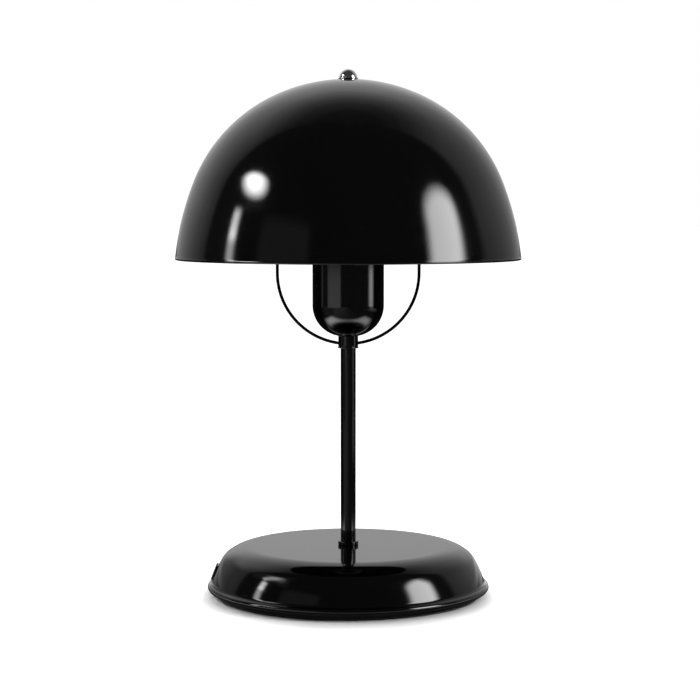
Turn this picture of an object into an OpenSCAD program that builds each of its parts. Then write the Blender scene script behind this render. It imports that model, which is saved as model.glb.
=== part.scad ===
// Table lamp with a domed metal shade carried on a wire harp over a round weighted base.
// Millimetres, +Z up, origin at the centre of the underside of the base.
// The harp lies in the XZ plane and the cord inlet is on the -X side of the base.

/* [Shade] */
// Diameter of the shade across its rim
shade_d = 250; // [220:1:280]
// Height of the shade from its rim to the top of the dome
shade_h = 129.6; // [115:0.2:145]
// Sheet thickness of the shade
shade_wall = 1; // [0.8:0.1:1.6]
// Radius of the crown of the dome
crown_r = 126; // [110:1:140]
// Angle off the vertical at which the crown runs into the shoulder
crown_deg = 24; // [18:0.5:28]
// Angle off the vertical at which the shoulder runs into the side
shoulder_deg = 68.5; // [64:0.5:72]
// Angle off the vertical of the side's normal at the rim
rim_deg = 84; // [80:0.5:88]
// Diameter of the wire rolled into the rim
rim_bead_d = 2.2; // [2:0.1:3.2]

/* [Finial] */
// Diameter of the domed finial
finial_d = 13; // [11:0.1:16]
// Height of the domed finial
finial_h = 6.3; // [5.6:0.1:8]
// Diameter of the washer under the finial
finial_washer_d = 14.4; // [13:0.1:20]
// Thickness of the washer under the finial
finial_washer_t = 0.8; // [0.5:0.1:1.5]
// Thread diameter of the finial stud
stud_d = 6; // [5:0.1:7]
// Diameter of the flange of the finial stud
stud_flange_d = 16; // [13:0.5:22]
// Thickness of the flange of the finial stud, over the middle of the wire
stud_flange_t = 2.6; // [2:0.1:4]
// Thickness of the soft washer that the shade rests on
shade_washer_t = 1; // [0.6:0.1:2]
// Thickness of the finial left above the end of its thread
finial_skin = 1.6; // [1:0.1:2]
// Room left over the stud inside the finial
finial_room = 0.4; // [0.2:0.1:1]
// Rounding of the edge of the stud's flange
stud_edge = 0.4; // [0.2:0.1:0.8]

/* [Harp] */
// Width of the harp between the middles of its wire
harp_w = 102.6; // [90:0.2:120]
// Height of the harp between the middles of its wire
harp_h = 185.7; // [175:0.1:200]
// Diameter of the harp wire
wire_d = 2.3; // [1.6:0.1:3]
// Gap between an end of the harp wire and the thread in the collar
wire_end_gap = 0.3; // [0.1:0.1:0.6]

/* [Holder cup] */
// Outside diameter of the cup around the lampholder
cup_d = 51.8; // [48:0.2:60]
// Height of the cup
cup_h = 66; // [58:0.5:72]
// Radius of the rounded bottom of the cup
cup_corner_r = 22.5; // [14:0.5:23]
// Sheet thickness of the cup
cup_wall = 0.9; // [0.7:0.1:1.4]
// Diameter of the formed washer inside the cup
cup_washer_d = 20; // [17:0.5:24]
// Height of the flat top of the formed washer above the floor of the cup
cup_washer_h = 2.2; // [1.8:0.1:3]

/* [Lampholder] */
// Outside diameter of the lampholder
holder_d = 39; // [36:0.5:42]
// Wall of the lampholder's mouldings
holder_wall = 2.2; // [1.8:0.1:2.6]
// Radius of the rounded bottom of the lampholder
holder_corner_r = 9.5; // [6:0.5:11]
// Height of the threaded entry boss
entry_h = 10; // [8:0.5:12]
// Diameter of the threaded entry boss
entry_d = 14; // [13:0.5:17]
// Height of the wiring space above the entry boss
wiring_h = 4.8; // [4.2:0.1:7]
// Thickness of the porcelain insert
insert_t = 8; // [6:0.5:10]
// Height of the skirt above the insert
skirt_h = 33; // [31:0.5:38]
// Inside diameter of the screw shell
screw_shell_d = 26.9; // [26.7:0.1:27.4]
// Height of the screw shell
screw_shell_h = 27; // [24:0.5:28]
// Sheet thickness of the screw shell and of the centre contact
contact_t = 0.5; // [0.3:0.1:0.8]
// Radius of the arched centre contact
contact_r = 5; // [4:0.1:5.4]
// Width of the centre contact
contact_w = 4; // [3:0.5:5]
// Width of a terminal post
post_w = 5; // [4:0.5:6]
// Height of a terminal post
post_h = 4.2; // [3.8:0.1:5]
// Gap between a terminal screw's head and the entry boss
post_gap = 0.6; // [0.3:0.1:1.5]
// Thread diameter of a terminal screw
terminal_screw_d = 2.5; // [2:0.1:3]
// Head diameter of a terminal screw
terminal_head_d = 4.4; // [3.8:0.1:5]
// Head height of a terminal screw
terminal_head_h = 1.2; // [0.8:0.1:2]
// Length of a terminal screw inside the insert
terminal_grip = 4; // [3:0.5:5]
// Width of the ledge under the porcelain insert
ledge_w = 1.8; // [1.2:0.1:2.4]
// Rounding of the edges of the skirt
skirt_edge = 1; // [0.6:0.1:1.6]
// Radial gap between the screw shell and the skirt
shell_gap = 1.5; // [1:0.1:2]
// Radial gap between the screw shell and the lip at the skirt's mouth
lip_gap = 0.5; // [0.3:0.1:0.9]
// Gap between the top of the screw shell and the skirt's lip
lip_rise = 1; // [0.5:0.1:2]
// Radial gap between the centre contact and the floor of the screw shell
contact_room = 1.2; // [0.8:0.1:2]

/* [Bulb] */
// Largest diameter of the bulb
bulb_d = 60; // [50:1:64]
// Overall length of the bulb
bulb_l = 108; // [100:1:112]
// Diameter of the bulb's screw cap
bulb_cap_d = 26.4; // [26:0.05:26.5]
// Height of the bulb's screw cap
bulb_cap_h = 20.7; // [18:0.1:24]
// Height of the black insulator under the screw cap
bulb_insulator_h = 4; // [3:0.5:5]
// Height of the bulb's centre contact
bulb_contact_h = 1.5; // [1:0.1:2.5]
// Height of the bulb's tapered body
bulb_body_h = 39; // [32:0.5:44]
// Wall of the opal globe
globe_wall = 1.5; // [1:0.1:2.5]
// Diameter of the bulb's centre contact
bulb_contact_d = 9.6; // [8:0.1:11]
// Diameter of the lower end of the bulb's insulator
bulb_insulator_d = 11.2; // [10:0.1:14]
// Rounding of the lower edge of the bulb's screw cap
bulb_cap_edge = 1.6; // [1:0.1:2.4]
// Step from the bulb's screw cap out to its body
bulb_step = 0.2; // [0.1:0.1:1]

/* [Stem] */
// Outside diameter of the stem
stem_d = 11; // [10.6:0.1:13]
// Visible length of the stem
stem_l = 141.1; // [110:0.1:180]
// Diameter of the threaded ends of the stem
thread_d = 10; // [9:0.1:10.5]
// Bore of the stem
stem_bore_d = 7.6; // [7:0.1:8]
// Diameter of the ring where the stem meets the base
ring_d = 14.8; // [13.6:0.1:20]
// Height of the ring where the stem meets the base
ring_h = 3; // [2:0.1:4]
// Rounding of the edges of the ring and of the round nut
ring_edge = 0.6; // [0.2:0.1:0.6]
// Height of the stem's lower end above the bottom plate
thread_start = 1.8; // [1:0.1:2.5]
// Length of thread that stands above the entry boss
thread_stand = 0.8; // [0.4:0.1:1.5]
// Diameter of the round nut under the harp
locknut_d = 15; // [13.6:0.1:18]
// Height of the round nut under the harp
locknut_h = 1.5; // [1.3:0.1:3]
// Diameter of the collar that holds the ends of the harp
collar_d = 14.4; // [13.6:0.1:18]
// Height of the collar under the lowest point of the cup
collar_h = 7.1; // [5.5:0.1:9]
// Height of the harp wire in the collar
collar_wire_h = 1.7; // [1.5:0.1:3]
// Width of the thin hexagon nuts across their flats
nut_af = 14; // [13:0.5:17]
// Thickness of the thin hexagon nuts
nut_t = 4; // [3:0.5:6]

/* [Base] */
// Diameter of the base across its rolled edge
base_d = 205.2; // [190:0.2:225]
// Height of the top of the base
base_h = 36.4; // [34:0.1:44]
// Diameter of the flat top of the base
base_top_d = 141.4; // [134:0.2:148]
// Angle off the vertical at which the base's crown runs into its shoulder
base_crown_deg = 36; // [32:0.5:40]
// Radius of the shoulder of the base
base_shoulder_r = 14.2; // [11:0.1:18]
// Angle off the vertical at which the base's shoulder runs into its side
base_shoulder_deg = 58.5; // [55:0.5:62]
// Slope of the base's side off the vertical at its foot
base_side_deg = 12; // [8:0.5:16]
// Sheet thickness of the base shell
base_wall = 1; // [0.8:0.1:1.5]
// Diameter of the rolled edge of the base
bead_d = 5; // [4:0.1:6]
// Height of the middle of the rolled edge above the table
bead_z = 6.8; // [6.2:0.1:8]

/* [Ballast and underside] */
// Thickness of the felt pad
pad_t = 1.5; // [1:0.1:3]
// Width of the plate's edge left outside the felt pad
pad_inset = 2; // [1:0.1:4]
// Thickness of the bottom plate
plate_t = 2; // [1.9:0.1:2.6]
// Height of the turned-up lip of the bottom plate
plate_lip_h = 5; // [4:0.1:7]
// Rounding of the bottom plate's lower edge
plate_edge = 1.2; // [0.8:0.1:1.8]
// Diameter of the ballast disc
weight_d = 156; // [140:1:170]
// Thickness of the ballast disc
weight_t = 8; // [7.6:0.2:10]
// Diameter of the ballast's centre boss
boss_d = 32; // [28:0.5:40]
// Width of the cone at the foot of the ballast's boss
boss_foot_w = 8; // [4:0.5:10]
// Height of the cone at the foot of the ballast's boss
boss_foot_h = 6; // [3:0.5:8]
// Rounding of the ballast's edges
weight_edge = 2; // [1:0.1:3]
// Diameter of the recess for the nut under the ballast
recess_d = 21; // [19:0.5:24]
// Radial room round the washer in the recess
recess_room = 0.5; // [0.3:0.1:1]
// Thickness of the washer under the ballast
base_washer_t = 1.2; // [0.8:0.1:2]
// Length of thread left below the nut under the ballast
thread_end = 2; // [1:0.1:3]
// Number of plate screws
plate_screws_n = 3; // [3:1:6]
// Diameter of the circle of plate screws
plate_screw_pcd = 118; // [90:1:130]
// Thread diameter of a plate screw
plate_screw_d = 4; // [3:0.1:5]
// Head diameter of a plate screw
plate_screw_head_d = 7.6; // [7:0.1:8.4]
// Length of a plate screw
plate_screw_l = 8; // [7:0.1:8.5]

/* [Cord inlet and wiring] */
// Diameter of the outer flange of the cord bush
bush_d = 13; // [11:0.1:15]
// Bore of the cord bush
bush_bore_d = 6.2; // [5:0.1:7.5]
// Diameter of the neck of the cord bush
bush_neck_d = 9; // [8.6:0.1:10]
// Thickness of each flange of the cord bush
bush_flange_t = 1.3; // [1:0.1:2]
// Height of the cord bush above the table
bush_z = 16.5; // [15.5:0.1:18]
// Step from the bush's outer flange in to its inner flange
bush_step = 0.6; // [0.2:0.1:1]
// Diameter of an insulated lead
lead_d = 2; // [1.6:0.1:2.2]
// Distance between the two leads inside the stem
lead_pitch = 2.7; // [2.6:0.1:3]
// Room round the two leads in the side holes of the boss and of the stem
lead_room = 0.85; // [0.6:0.05:1]
// Distance between the two ways of the terminal block
block_pitch = 10; // [9:0.5:12]
// Length of the terminal block
block_l = 20; // [16:0.5:24]
// Height of the terminal ways above the ballast
block_axis_h = 6.5; // [6:0.1:8]
// Distance from the axis to the middle of the terminal block
block_offset = 52; // [48:0.5:60]
// Depth of the terminal block's floor below the axis of its ways
block_floor_drop = 2; // [1.5:0.1:2.5]
// Bore of a terminal way
way_d = 3; // [2.6:0.1:3.2]
// Outside diameter of the barrel round a terminal way
barrel_d = 7.2; // [6.4:0.1:8]
// Diameter of a tower over a clamp screw
tower_d = 5.4; // [4.8:0.1:6]
// Height of a tower above the axis of its way
tower_h = 6.5; // [5.5:0.1:8]
// Thread diameter of the terminal block's screws
block_screw_d = 3; // [2.5:0.1:3.2]
// Length of a clamp screw
clamp_l = 4; // [3:0.1:5]
// Thickness of the block under the head of its mounting screw
mount_seat_t = 3.5; // [2.5:0.1:4]
// Head diameter of the block's mounting screw
mount_head_d = 5.6; // [5:0.1:5.8]
// Head height of the block's mounting screw
mount_head_h = 1.8; // [1.2:0.1:2.2]
// Length of the block's mounting screw inside the ballast
mount_grip = 5; // [3:0.5:6]

/* [Clearances] */
// Radial clearance of a hole over a thread or a screw
thread_fit = 0.05; // [0.02:0.01:0.1]
// Radial clearance round a sunk screw head, and round the porcelain insert
head_fit = 0.2; // [0.1:0.05:0.3]
// Radial clearance of the harp wire in its seats
wire_fit = 0.03; // [0.02:0.01:0.1]
// Gap between the shade and the parts that it turns on
turn_gap = 0.1; // [0.05:0.01:0.3]
// Radial gap of the shade's hole over the stud
shade_hole_gap = 0.3; // [0.2:0.05:0.6]
// Gap between the bulb and the lampholder's centre contact
contact_gap = 0.2; // [0.1:0.05:0.5]
// Gap between the bottom plate and the rolled edge
plate_gap = 0.4; // [0.2:0.1:1]
// Gap between a rubber flange and a curved wall
bush_gap = 0.35; // [0.3:0.05:0.5]
// Clearance of the hole through the base, the ballast and the cup over the stem's thread
pass_fit = 0.25; // [0.15:0.05:0.5]

/* [Hidden] */
$fn = 96;
eps = 0.01;
// Overshoot of a cut
cut = 1;
arc_step = 3;

// Colours
black_lacquer = [0.02, 0.02, 0.022];
chrome = [0.8, 0.8, 0.82];
zinc = [0.62, 0.63, 0.65];
brass = [0.78, 0.62, 0.3];
iron = [0.2, 0.2, 0.21];
rubber = [0.05, 0.05, 0.05];
phenolic = [0.06, 0.055, 0.05];
porcelain = [0.93, 0.92, 0.88];
opal = [0.96, 0.96, 0.94];
felt = [0.09, 0.09, 0.1];
live_brown = [0.36, 0.2, 0.1];
neutral_blue = [0.12, 0.25, 0.6];

// Radii that several parts share
thread_r = thread_d / 2;
thread_hole_r = thread_r + thread_fit;
pass_r = thread_r + pass_fit;
stud_r = stud_d / 2;
wire_r = wire_d / 2;
lead_r = lead_d / 2;
harp_r = harp_w / 2;

// Levels of the base, from the table up
plate_z = pad_t;
weight_z = plate_z + plate_t;
weight_top = weight_z + weight_t;
thread_bottom = weight_z + thread_start;
base_nut_z = thread_bottom + thread_end;
base_washer_z = base_nut_z + nut_t;
recess_top = base_washer_z + base_washer_t;
boss_top = base_h - base_wall;

// Levels of the neck, the cup and the lampholder
stem_z = base_h + ring_h;
neck_z = stem_z + stem_l;
collar_z = neck_z + locknut_h;
harp_z = collar_z + collar_wire_h;
cup_z = collar_z + collar_h;
cup_nut_z = cup_z + cup_wall + cup_washer_h;
holder_z = cup_nut_z + nut_t;
thread_top = holder_z + entry_h + thread_stand;
insert_z = holder_z + entry_h + wiring_h;
shell_z = insert_z + insert_t;
skirt_z = shell_z - holder_wall / 2;
skirt_top = shell_z + skirt_h;

// Levels of the harp's top, the shade and the finial
harp_low = harp_z + harp_r;
harp_top = harp_z + harp_h;
harp_high = harp_top - harp_r;
shade_washer_z = harp_top + stud_flange_t;
shade_washer_top = shade_washer_z + shade_washer_t;
shade_washer_r = stud_flange_d / 2;
crown_in = crown_r - shade_wall;
seat_sag = crown_in - sqrt(crown_in * crown_in - shade_washer_r * shade_washer_r);
shade_top = shade_washer_top + turn_gap + seat_sag + shade_wall;
shade_rim_z = shade_top - shade_h;
shade_hole_r = stud_r + shade_hole_gap;
finial_washer_z = shade_top + turn_gap;
finial_z = finial_washer_z + finial_washer_t;
finial_top = finial_z + finial_h;
stud_top = finial_top - finial_skin - finial_room;

// Levels of the bulb
bulb_z = shell_z + contact_r + contact_gap;
bulb_insulator_z = bulb_z + bulb_contact_h;
bulb_cap_z = bulb_insulator_z + bulb_insulator_h;
bulb_body_z = bulb_cap_z + bulb_cap_h;
globe_z = bulb_body_z + bulb_body_h;
globe_r = bulb_d / 2;
globe_mid = bulb_z + bulb_l - globe_r;
globe_foot_r = sqrt(globe_r * globe_r - (globe_mid - globe_z) * (globe_mid - globe_z));
bulb_cap_r = bulb_cap_d / 2;

// Two radii of a chain of tangent arcs, solved from the reach and the drop that they have to span
function first_of(a, b, p, c, d, q) = (p * d - b * q) / (a * d - b * c);
function second_of(a, b, p, c, d, q) = (a * q - p * c) / (a * d - b * c);

// The shade's shoulder and side, which carry the crown out to the rim
rim_r = shade_d / 2;
shade_reach = rim_r - crown_r * sin(crown_deg);
shade_drop = shade_h - crown_r * (1 - cos(crown_deg));
shoulder_out = sin(shoulder_deg) - sin(crown_deg);
shoulder_down = cos(crown_deg) - cos(shoulder_deg);
side_out = sin(rim_deg) - sin(shoulder_deg);
side_down = cos(shoulder_deg) - cos(rim_deg);
shoulder_r = first_of(shoulder_out, side_out, shade_reach, shoulder_down, side_down, shade_drop);
side_r = second_of(shoulder_out, side_out, shade_reach, shoulder_down, side_down, shade_drop);
crown_mid = [0, shade_top - crown_r];
shoulder_mid = crown_mid + (crown_r - shoulder_r) * [sin(crown_deg), cos(crown_deg)];
side_mid = shoulder_mid + (shoulder_r - side_r) * [sin(shoulder_deg), cos(shoulder_deg)];

// The base's crown and side, which run into its shoulder
base_flat_r = base_top_d / 2;
bead_r = base_d / 2 - bead_d / 2;
base_turn = 90 - base_side_deg;
shoulder_reach = base_shoulder_r * (sin(base_shoulder_deg) - sin(base_crown_deg));
shoulder_fall = base_shoulder_r * (cos(base_crown_deg) - cos(base_shoulder_deg));
base_reach = bead_r - base_flat_r - shoulder_reach;
base_drop = base_h - bead_z - shoulder_fall;
crown_out = sin(base_crown_deg);
crown_down = 1 - cos(base_crown_deg);
foot_out = sin(base_turn) - sin(base_shoulder_deg);
foot_down = cos(base_shoulder_deg) - cos(base_turn);
base_crown_r = first_of(crown_out, foot_out, base_reach, crown_down, foot_down, base_drop);
base_side_r = second_of(crown_out, foot_out, base_reach, crown_down, foot_down, base_drop);
base_crown_mid = [base_flat_r, base_h - base_crown_r];
base_shoulder_mid = base_crown_mid
  + (base_crown_r - base_shoulder_r) * [sin(base_crown_deg), cos(base_crown_deg)];
base_side_mid = base_shoulder_mid
  + (base_shoulder_r - base_side_r) * [sin(base_shoulder_deg), cos(base_shoulder_deg)];

// The cord bush sits square to the side of the base
bush_deg = asin((bush_z - base_side_mid[1]) / base_side_r);
bush_r = base_side_mid[0] + base_side_r * cos(bush_deg);
bush_in = base_wall + bush_gap;
bush_edge = 0.9 * bush_flange_t;

// Screws of the terminal block
block_screw_r = block_screw_d / 2;

// The bottom plate fits inside the rolled edge
plate_r = bead_r - bead_d / 2 - plate_gap;
pad_r = plate_r - pad_inset;

// The plate screws are countersunk, with heads as deep as their taper needs
screw_r = plate_screw_d / 2;
screw_head_r = plate_screw_head_d / 2;
screw_head_h = screw_head_r - screw_r;

// Terminal posts and the way of the leads
lead_z = weight_top + block_axis_h;
lead_hole_r = lead_pitch / 2 + lead_r + lead_room;
terminal_screw_r = terminal_screw_d / 2;
terminal_head_r = terminal_head_d / 2;
post_offset = entry_d / 2 + post_gap + terminal_head_r;
post_z = insert_z - post_h;
post_lead_z = post_z + post_h / 2;
post_face = post_offset - post_w / 2;
lead_rings = 6;
lead_sides = 8;

// Points along an arc in the plane, from angle a0 to angle a1 off the vertical
function arc_points(mid, r, a0, a1) = let (n = ceil((a1 - a0) / arc_step)) [
  for (i = [0:n]) mid + r * [sin(a0 + (a1 - a0) * i / n), cos(a0 + (a1 - a0) * i / n)]
];
function reversed(list) = [for (i = [len(list) - 1:-1:0]) list[i]];

// Outer line of the shade, or its inner line when inset by the sheet's thickness
function shade_line(inset) = concat(
  arc_points(crown_mid, crown_r - inset, 0, crown_deg),
  arc_points(shoulder_mid, shoulder_r - inset, crown_deg + arc_step, shoulder_deg),
  arc_points(side_mid, side_r - inset, shoulder_deg + arc_step, rim_deg)
);

// Outer line of the base, or its inner line when inset by the sheet's thickness
function base_line(inset) = concat(
  [[0, base_h - inset]],
  arc_points(base_crown_mid, base_crown_r - inset, 0, base_crown_deg),
  arc_points(base_shoulder_mid, base_shoulder_r - inset, base_crown_deg + arc_step, base_shoulder_deg),
  arc_points(base_side_mid, base_side_r - inset, base_shoulder_deg + arc_step, base_turn)
);

// Half outline of a round-bottomed pot
module pot_outline(r, corner, h) {
  intersection() {
    union() {
      translate([r - corner, corner]) circle(corner);
      translate([0, corner]) square([r, h - corner]);
      square([r - corner, h]);
    }
    square([r, h]);
  }
}

// Half outline of a disc whose upper and lower outside corners are rounded
module round_edge_outline(r, h, corner) {
  union() {
    square([r - corner, h]);
    translate([0, corner]) square([r, h - 2 * corner]);
    translate([r - corner, corner]) circle(corner);
    translate([r - corner, h - corner]) circle(corner);
  }
}

module tube(r, bore, h, z) {
  translate([0, 0, z]) difference() {
    cylinder(r = r, h = h);
    translate([0, 0, -eps]) cylinder(r = bore, h = h + 2 * eps);
  }
}

module hexagon_nut(z) {
  translate([0, 0, z]) difference() {
    rotate([0, 0, 30]) cylinder(r = nut_af / sqrt(3), h = nut_t, $fn = 6);
    translate([0, 0, -eps]) cylinder(r = thread_hole_r, h = nut_t + 2 * eps);
  }
}

module on_screw_circle() {
  for (i = [0:plate_screws_n - 1]) {
    rotate([0, 0, i * 360 / plate_screws_n + 30]) translate([plate_screw_pcd / 2, 0, 0]) children();
  }
}

// Countersunk screw, head down on z = 0, grown all round by a clearance
module countersunk(grow) {
  cylinder(r1 = screw_head_r + grow, r2 = screw_r + grow, h = screw_head_h);
  cylinder(r = screw_r + grow, h = plate_screw_l + grow);
}

// Harp wire of radius r: two half rings joined by straight sides
module half_ring(r, z, turn) {
  translate([0, 0, z]) rotate([90, 0, 0]) rotate([0, 0, turn]) rotate_extrude(angle = 180) {
    translate([harp_r, 0]) circle(r);
  }
}

module harp_lower(r) {
  half_ring(r, harp_low, 180);
}

module harp_upper(r) {
  half_ring(r, harp_high, 0);
}

// Places a child at the bush, with its +Z pointing square out of the base's side
module at_bush() {
  translate([-bush_r, 0, bush_z]) rotate([0, bush_deg - 90, 0]) children();
}

module at_block() {
  translate([-block_offset, 0, weight_top]) children();
}

// Insulated lead, swept along a smooth curve through points in a plane y = constant or x = constant
function smooth(a, b, c, d, t) = 0.5 * (2 * b + (c - a) * t + (2 * a - 5 * b + 4 * c - d) * t * t
  + (3 * b - a - 3 * c + d) * t * t * t);
function along(p, i, t) = smooth(p[max(i - 1, 0)], p[i], p[i + 1], p[min(i + 2, len(p) - 1)], t);
function route(p) = [
  for (i = [0:len(p) - 2])
    for (k = [0:lead_rings - 1])
      along(p, i, k / lead_rings),
  p[len(p) - 1]
];
function unit(v) = v / norm(v);
function heading(q, i) = unit(q[min(i + 1, len(q) - 1)] - q[max(i - 1, 0)]);
function ring_at(q, i, r) = let (
    ahead = heading(q, i),
    across = unit(cross(ahead, unit([1, 3, 0.5]))),
    up = cross(across, ahead)
  ) [for (k = [0:lead_sides - 1]) q[i] + r * (cos(k * 360 / lead_sides) * across
    + sin(k * 360 / lead_sides) * up)];

module lead(points) {
  q = route(points);
  n = len(q);
  m = lead_sides;
  sides = [for (i = [0:n - 2]) for (k = [0:m - 1]) let (a = i * m + k, b = i * m + (k + 1) % m)
    each [[a, a + m, b], [b, a + m, b + m]]];
  ends = [[for (k = [0:m - 1]) k], [for (k = [m - 1:-1:0]) (n - 1) * m + k]];
  polyhedron([for (i = [0:n - 1]) each ring_at(q, i, lead_r)], concat(sides, ends));
}

// Route of one lead: terminal block, ballast boss, up the stem, then out to its terminal post
function lead_points(side) = let (y = side * lead_pitch / 2, way = side * block_pitch / 2) [
  [-block_offset, way, lead_z],
  [-block_offset + block_l / 2, way, lead_z],
  [-block_offset + block_l / 2 + 8, way, lead_z],
  [-boss_d / 2 - 6, y, lead_z],
  [-boss_d / 2, y, lead_z],
  [-thread_r - 2, y, lead_z],
  [-stem_bore_d / 4, y, lead_z + 1.7],
  [0, y, lead_z + 6],
  [0, y, lead_z + 14],
  [0, y, neck_z],
  [0, y, thread_top - 2],
  [0, y + side * 0.9, thread_top + 0.4],
  [0, y + side * 2.2, post_lead_z - 0.6],
  [0, side * (post_face - 1), post_lead_z],
  [0, side * (post_face - thread_fit), post_lead_z]
];

module felt_pad() {
  color(felt) cylinder(r = pad_r, h = pad_t);
}

module base_plate() {
  color(black_lacquer) difference() {
    translate([0, 0, plate_z]) rotate_extrude() difference() {
      union() {
        square([plate_r - plate_edge, plate_t]);
        translate([plate_r - plate_edge, plate_edge]) circle(plate_edge);
        translate([plate_r - plate_t, plate_edge]) square([plate_t, plate_lip_h - plate_edge]);
      }
      translate([0, plate_t]) square([plate_r - plate_t, plate_lip_h]);
    }
    translate([0, 0, plate_z - eps]) on_screw_circle() countersunk(thread_fit + eps);
  }
}

module plate_screws() {
  color(zinc) translate([0, 0, plate_z]) on_screw_circle() countersunk(0);
}

module base_weight() {
  color(iron) difference() {
    union() {
      translate([0, 0, weight_z]) rotate_extrude() round_edge_outline(weight_d / 2, weight_t, weight_edge);
      translate([0, 0, weight_top]) cylinder(r1 = boss_d / 2 + boss_foot_w, r2 = boss_d / 2, h = boss_foot_h);
      translate([0, 0, weight_z]) cylinder(r = boss_d / 2, h = boss_top - weight_z);
    }
    translate([0, 0, weight_z - eps]) cylinder(r = pass_r, h = boss_top);
    translate([0, 0, weight_z - eps]) cylinder(r = recess_d / 2, h = recess_top - weight_z + eps);
    translate([0, 0, plate_z]) on_screw_circle() countersunk(thread_fit);
    translate([0, 0, lead_z]) rotate([0, -90, 0]) cylinder(r = lead_hole_r, h = boss_d);
    at_block() translate([0, 0, -mount_grip - cut])
      cylinder(r = block_screw_r + thread_fit, h = mount_grip + cut + eps);
  }
}

module base_washer() {
  color(zinc) tube(recess_d / 2 - recess_room, pass_r, base_washer_t, base_washer_z);
}

module base_nut() {
  color(zinc) hexagon_nut(base_nut_z);
}

module base_shell() {
  color(black_lacquer) difference() {
    rotate_extrude() {
      polygon(concat(base_line(base_wall), reversed(base_line(0))));
      translate([bead_r, bead_z]) circle(bead_d / 2);
    }
    translate([0, 0, boss_top - eps]) cylinder(r = pass_r, h = base_wall + 2 * eps);
    at_bush() translate([0, 0, -bush_in - cut])
      cylinder(r = bush_neck_d / 2 + thread_fit, h = bush_in + 2 * cut);
  }
}

module cord_bush() {
  flange_r = bush_d / 2;
  bore_r = bush_bore_d / 2;
  color(rubber) at_bush() difference() {
    union() {
      translate([0, 0, -bush_flange_t]) rotate_extrude() intersection() {
        round_edge_outline(flange_r, 2 * bush_flange_t, bush_edge);
        translate([0, bush_flange_t]) square([flange_r, bush_flange_t]);
      }
      translate([0, 0, -bush_in - eps]) cylinder(r = bush_neck_d / 2, h = bush_in + 2 * eps);
      translate([0, 0, -bush_in - bush_flange_t]) cylinder(r = flange_r - bush_step, h = bush_flange_t);
    }
    translate([0, 0, -bush_in - bush_flange_t - eps]) cylinder(r = bore_r, h = bush_in + 3 * bush_flange_t);
  }
}

module terminal_block() {
  barrel_r = barrel_d / 2;
  color(porcelain) at_block() difference() {
    union() {
      translate([-block_l / 2, -block_pitch / 2 - barrel_r, 0])
        cube([block_l, block_pitch + barrel_d, block_axis_h - block_floor_drop]);
      for (s = [-1, 1]) translate([0, s * block_pitch / 2, block_axis_h]) {
        translate([-block_l / 2, 0, 0]) rotate([0, 90, 0]) cylinder(r = barrel_r, h = block_l);
        for (e = [-1, 1]) translate([e * block_l / 4, 0, 0]) cylinder(r = tower_d / 2, h = tower_h);
      }
    }
    for (s = [-1, 1]) translate([0, s * block_pitch / 2, block_axis_h]) {
      translate([-block_l, 0, 0]) rotate([0, 90, 0]) cylinder(r = way_d / 2, h = 2 * block_l);
      for (e = [-1, 1]) translate([e * block_l / 4, 0, 0])
        cylinder(r = block_screw_r + thread_fit, h = tower_h + cut);
    }
    translate([0, 0, -eps]) cylinder(r = block_screw_r + thread_fit, h = mount_seat_t + cut);
    translate([0, 0, mount_seat_t]) cylinder(r = mount_head_d / 2 + head_fit, h = block_axis_h + tower_h);
  }
}

module block_clamp_screws() {
  color(brass) at_block() for (s = [-1, 1]) for (e = [-1, 1]) {
    translate([e * block_l / 4, s * block_pitch / 2, block_axis_h + lead_r + thread_fit])
      cylinder(r = block_screw_r, h = clamp_l);
  }
}

module block_mount_screw() {
  color(zinc) at_block() {
    translate([0, 0, -mount_grip]) cylinder(r = block_screw_r, h = mount_grip + mount_seat_t + eps);
    translate([0, 0, mount_seat_t]) cylinder(r = mount_head_d / 2, h = mount_head_h);
  }
}

module live_lead() {
  color(live_brown) lead(lead_points(1));
}

module neutral_lead() {
  color(neutral_blue) lead(lead_points(-1));
}

module stem_ring() {
  color(black_lacquer) translate([0, 0, base_h]) difference() {
    rotate_extrude() round_edge_outline(ring_d / 2, ring_h, ring_edge);
    translate([0, 0, -eps]) cylinder(r = thread_hole_r, h = ring_h + 2 * eps);
  }
}

module stem_tube() {
  color(black_lacquer) difference() {
    union() {
      translate([0, 0, stem_z]) cylinder(r = stem_d / 2, h = stem_l);
      translate([0, 0, thread_bottom]) cylinder(r = thread_r, h = thread_top - thread_bottom);
    }
    translate([0, 0, thread_bottom - eps])
      cylinder(r = stem_bore_d / 2, h = thread_top - thread_bottom + 2 * eps);
    translate([0, 0, lead_z]) rotate([0, -90, 0]) cylinder(r = lead_hole_r, h = thread_d);
  }
}

module neck_locknut() {
  color(black_lacquer) translate([0, 0, neck_z]) difference() {
    rotate_extrude() round_edge_outline(locknut_d / 2, locknut_h, ring_edge);
    translate([0, 0, -eps]) cylinder(r = thread_hole_r, h = locknut_h + 2 * eps);
  }
}

module neck_collar() {
  color(black_lacquer) difference() {
    translate([0, 0, collar_z]) cylinder(r = collar_d / 2, h = collar_h + cut);
    translate([0, 0, collar_z - eps]) cylinder(r = thread_hole_r, h = collar_h + 2 * cut);
    translate([0, 0, cup_z - thread_fit]) rotate_extrude() pot_outline(cup_d / 2, cup_corner_r, cup_h);
    harp_lower(wire_r + wire_fit);
  }
}

module harp_wire() {
  color(black_lacquer) difference() {
    union() {
      harp_lower(wire_r);
      harp_upper(wire_r);
      for (s = [-1, 1]) translate([s * harp_r, 0, harp_low]) cylinder(r = wire_r, h = harp_high - harp_low);
    }
    translate([0, 0, collar_z]) cylinder(r = thread_hole_r + wire_end_gap, h = collar_h);
  }
}

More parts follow.
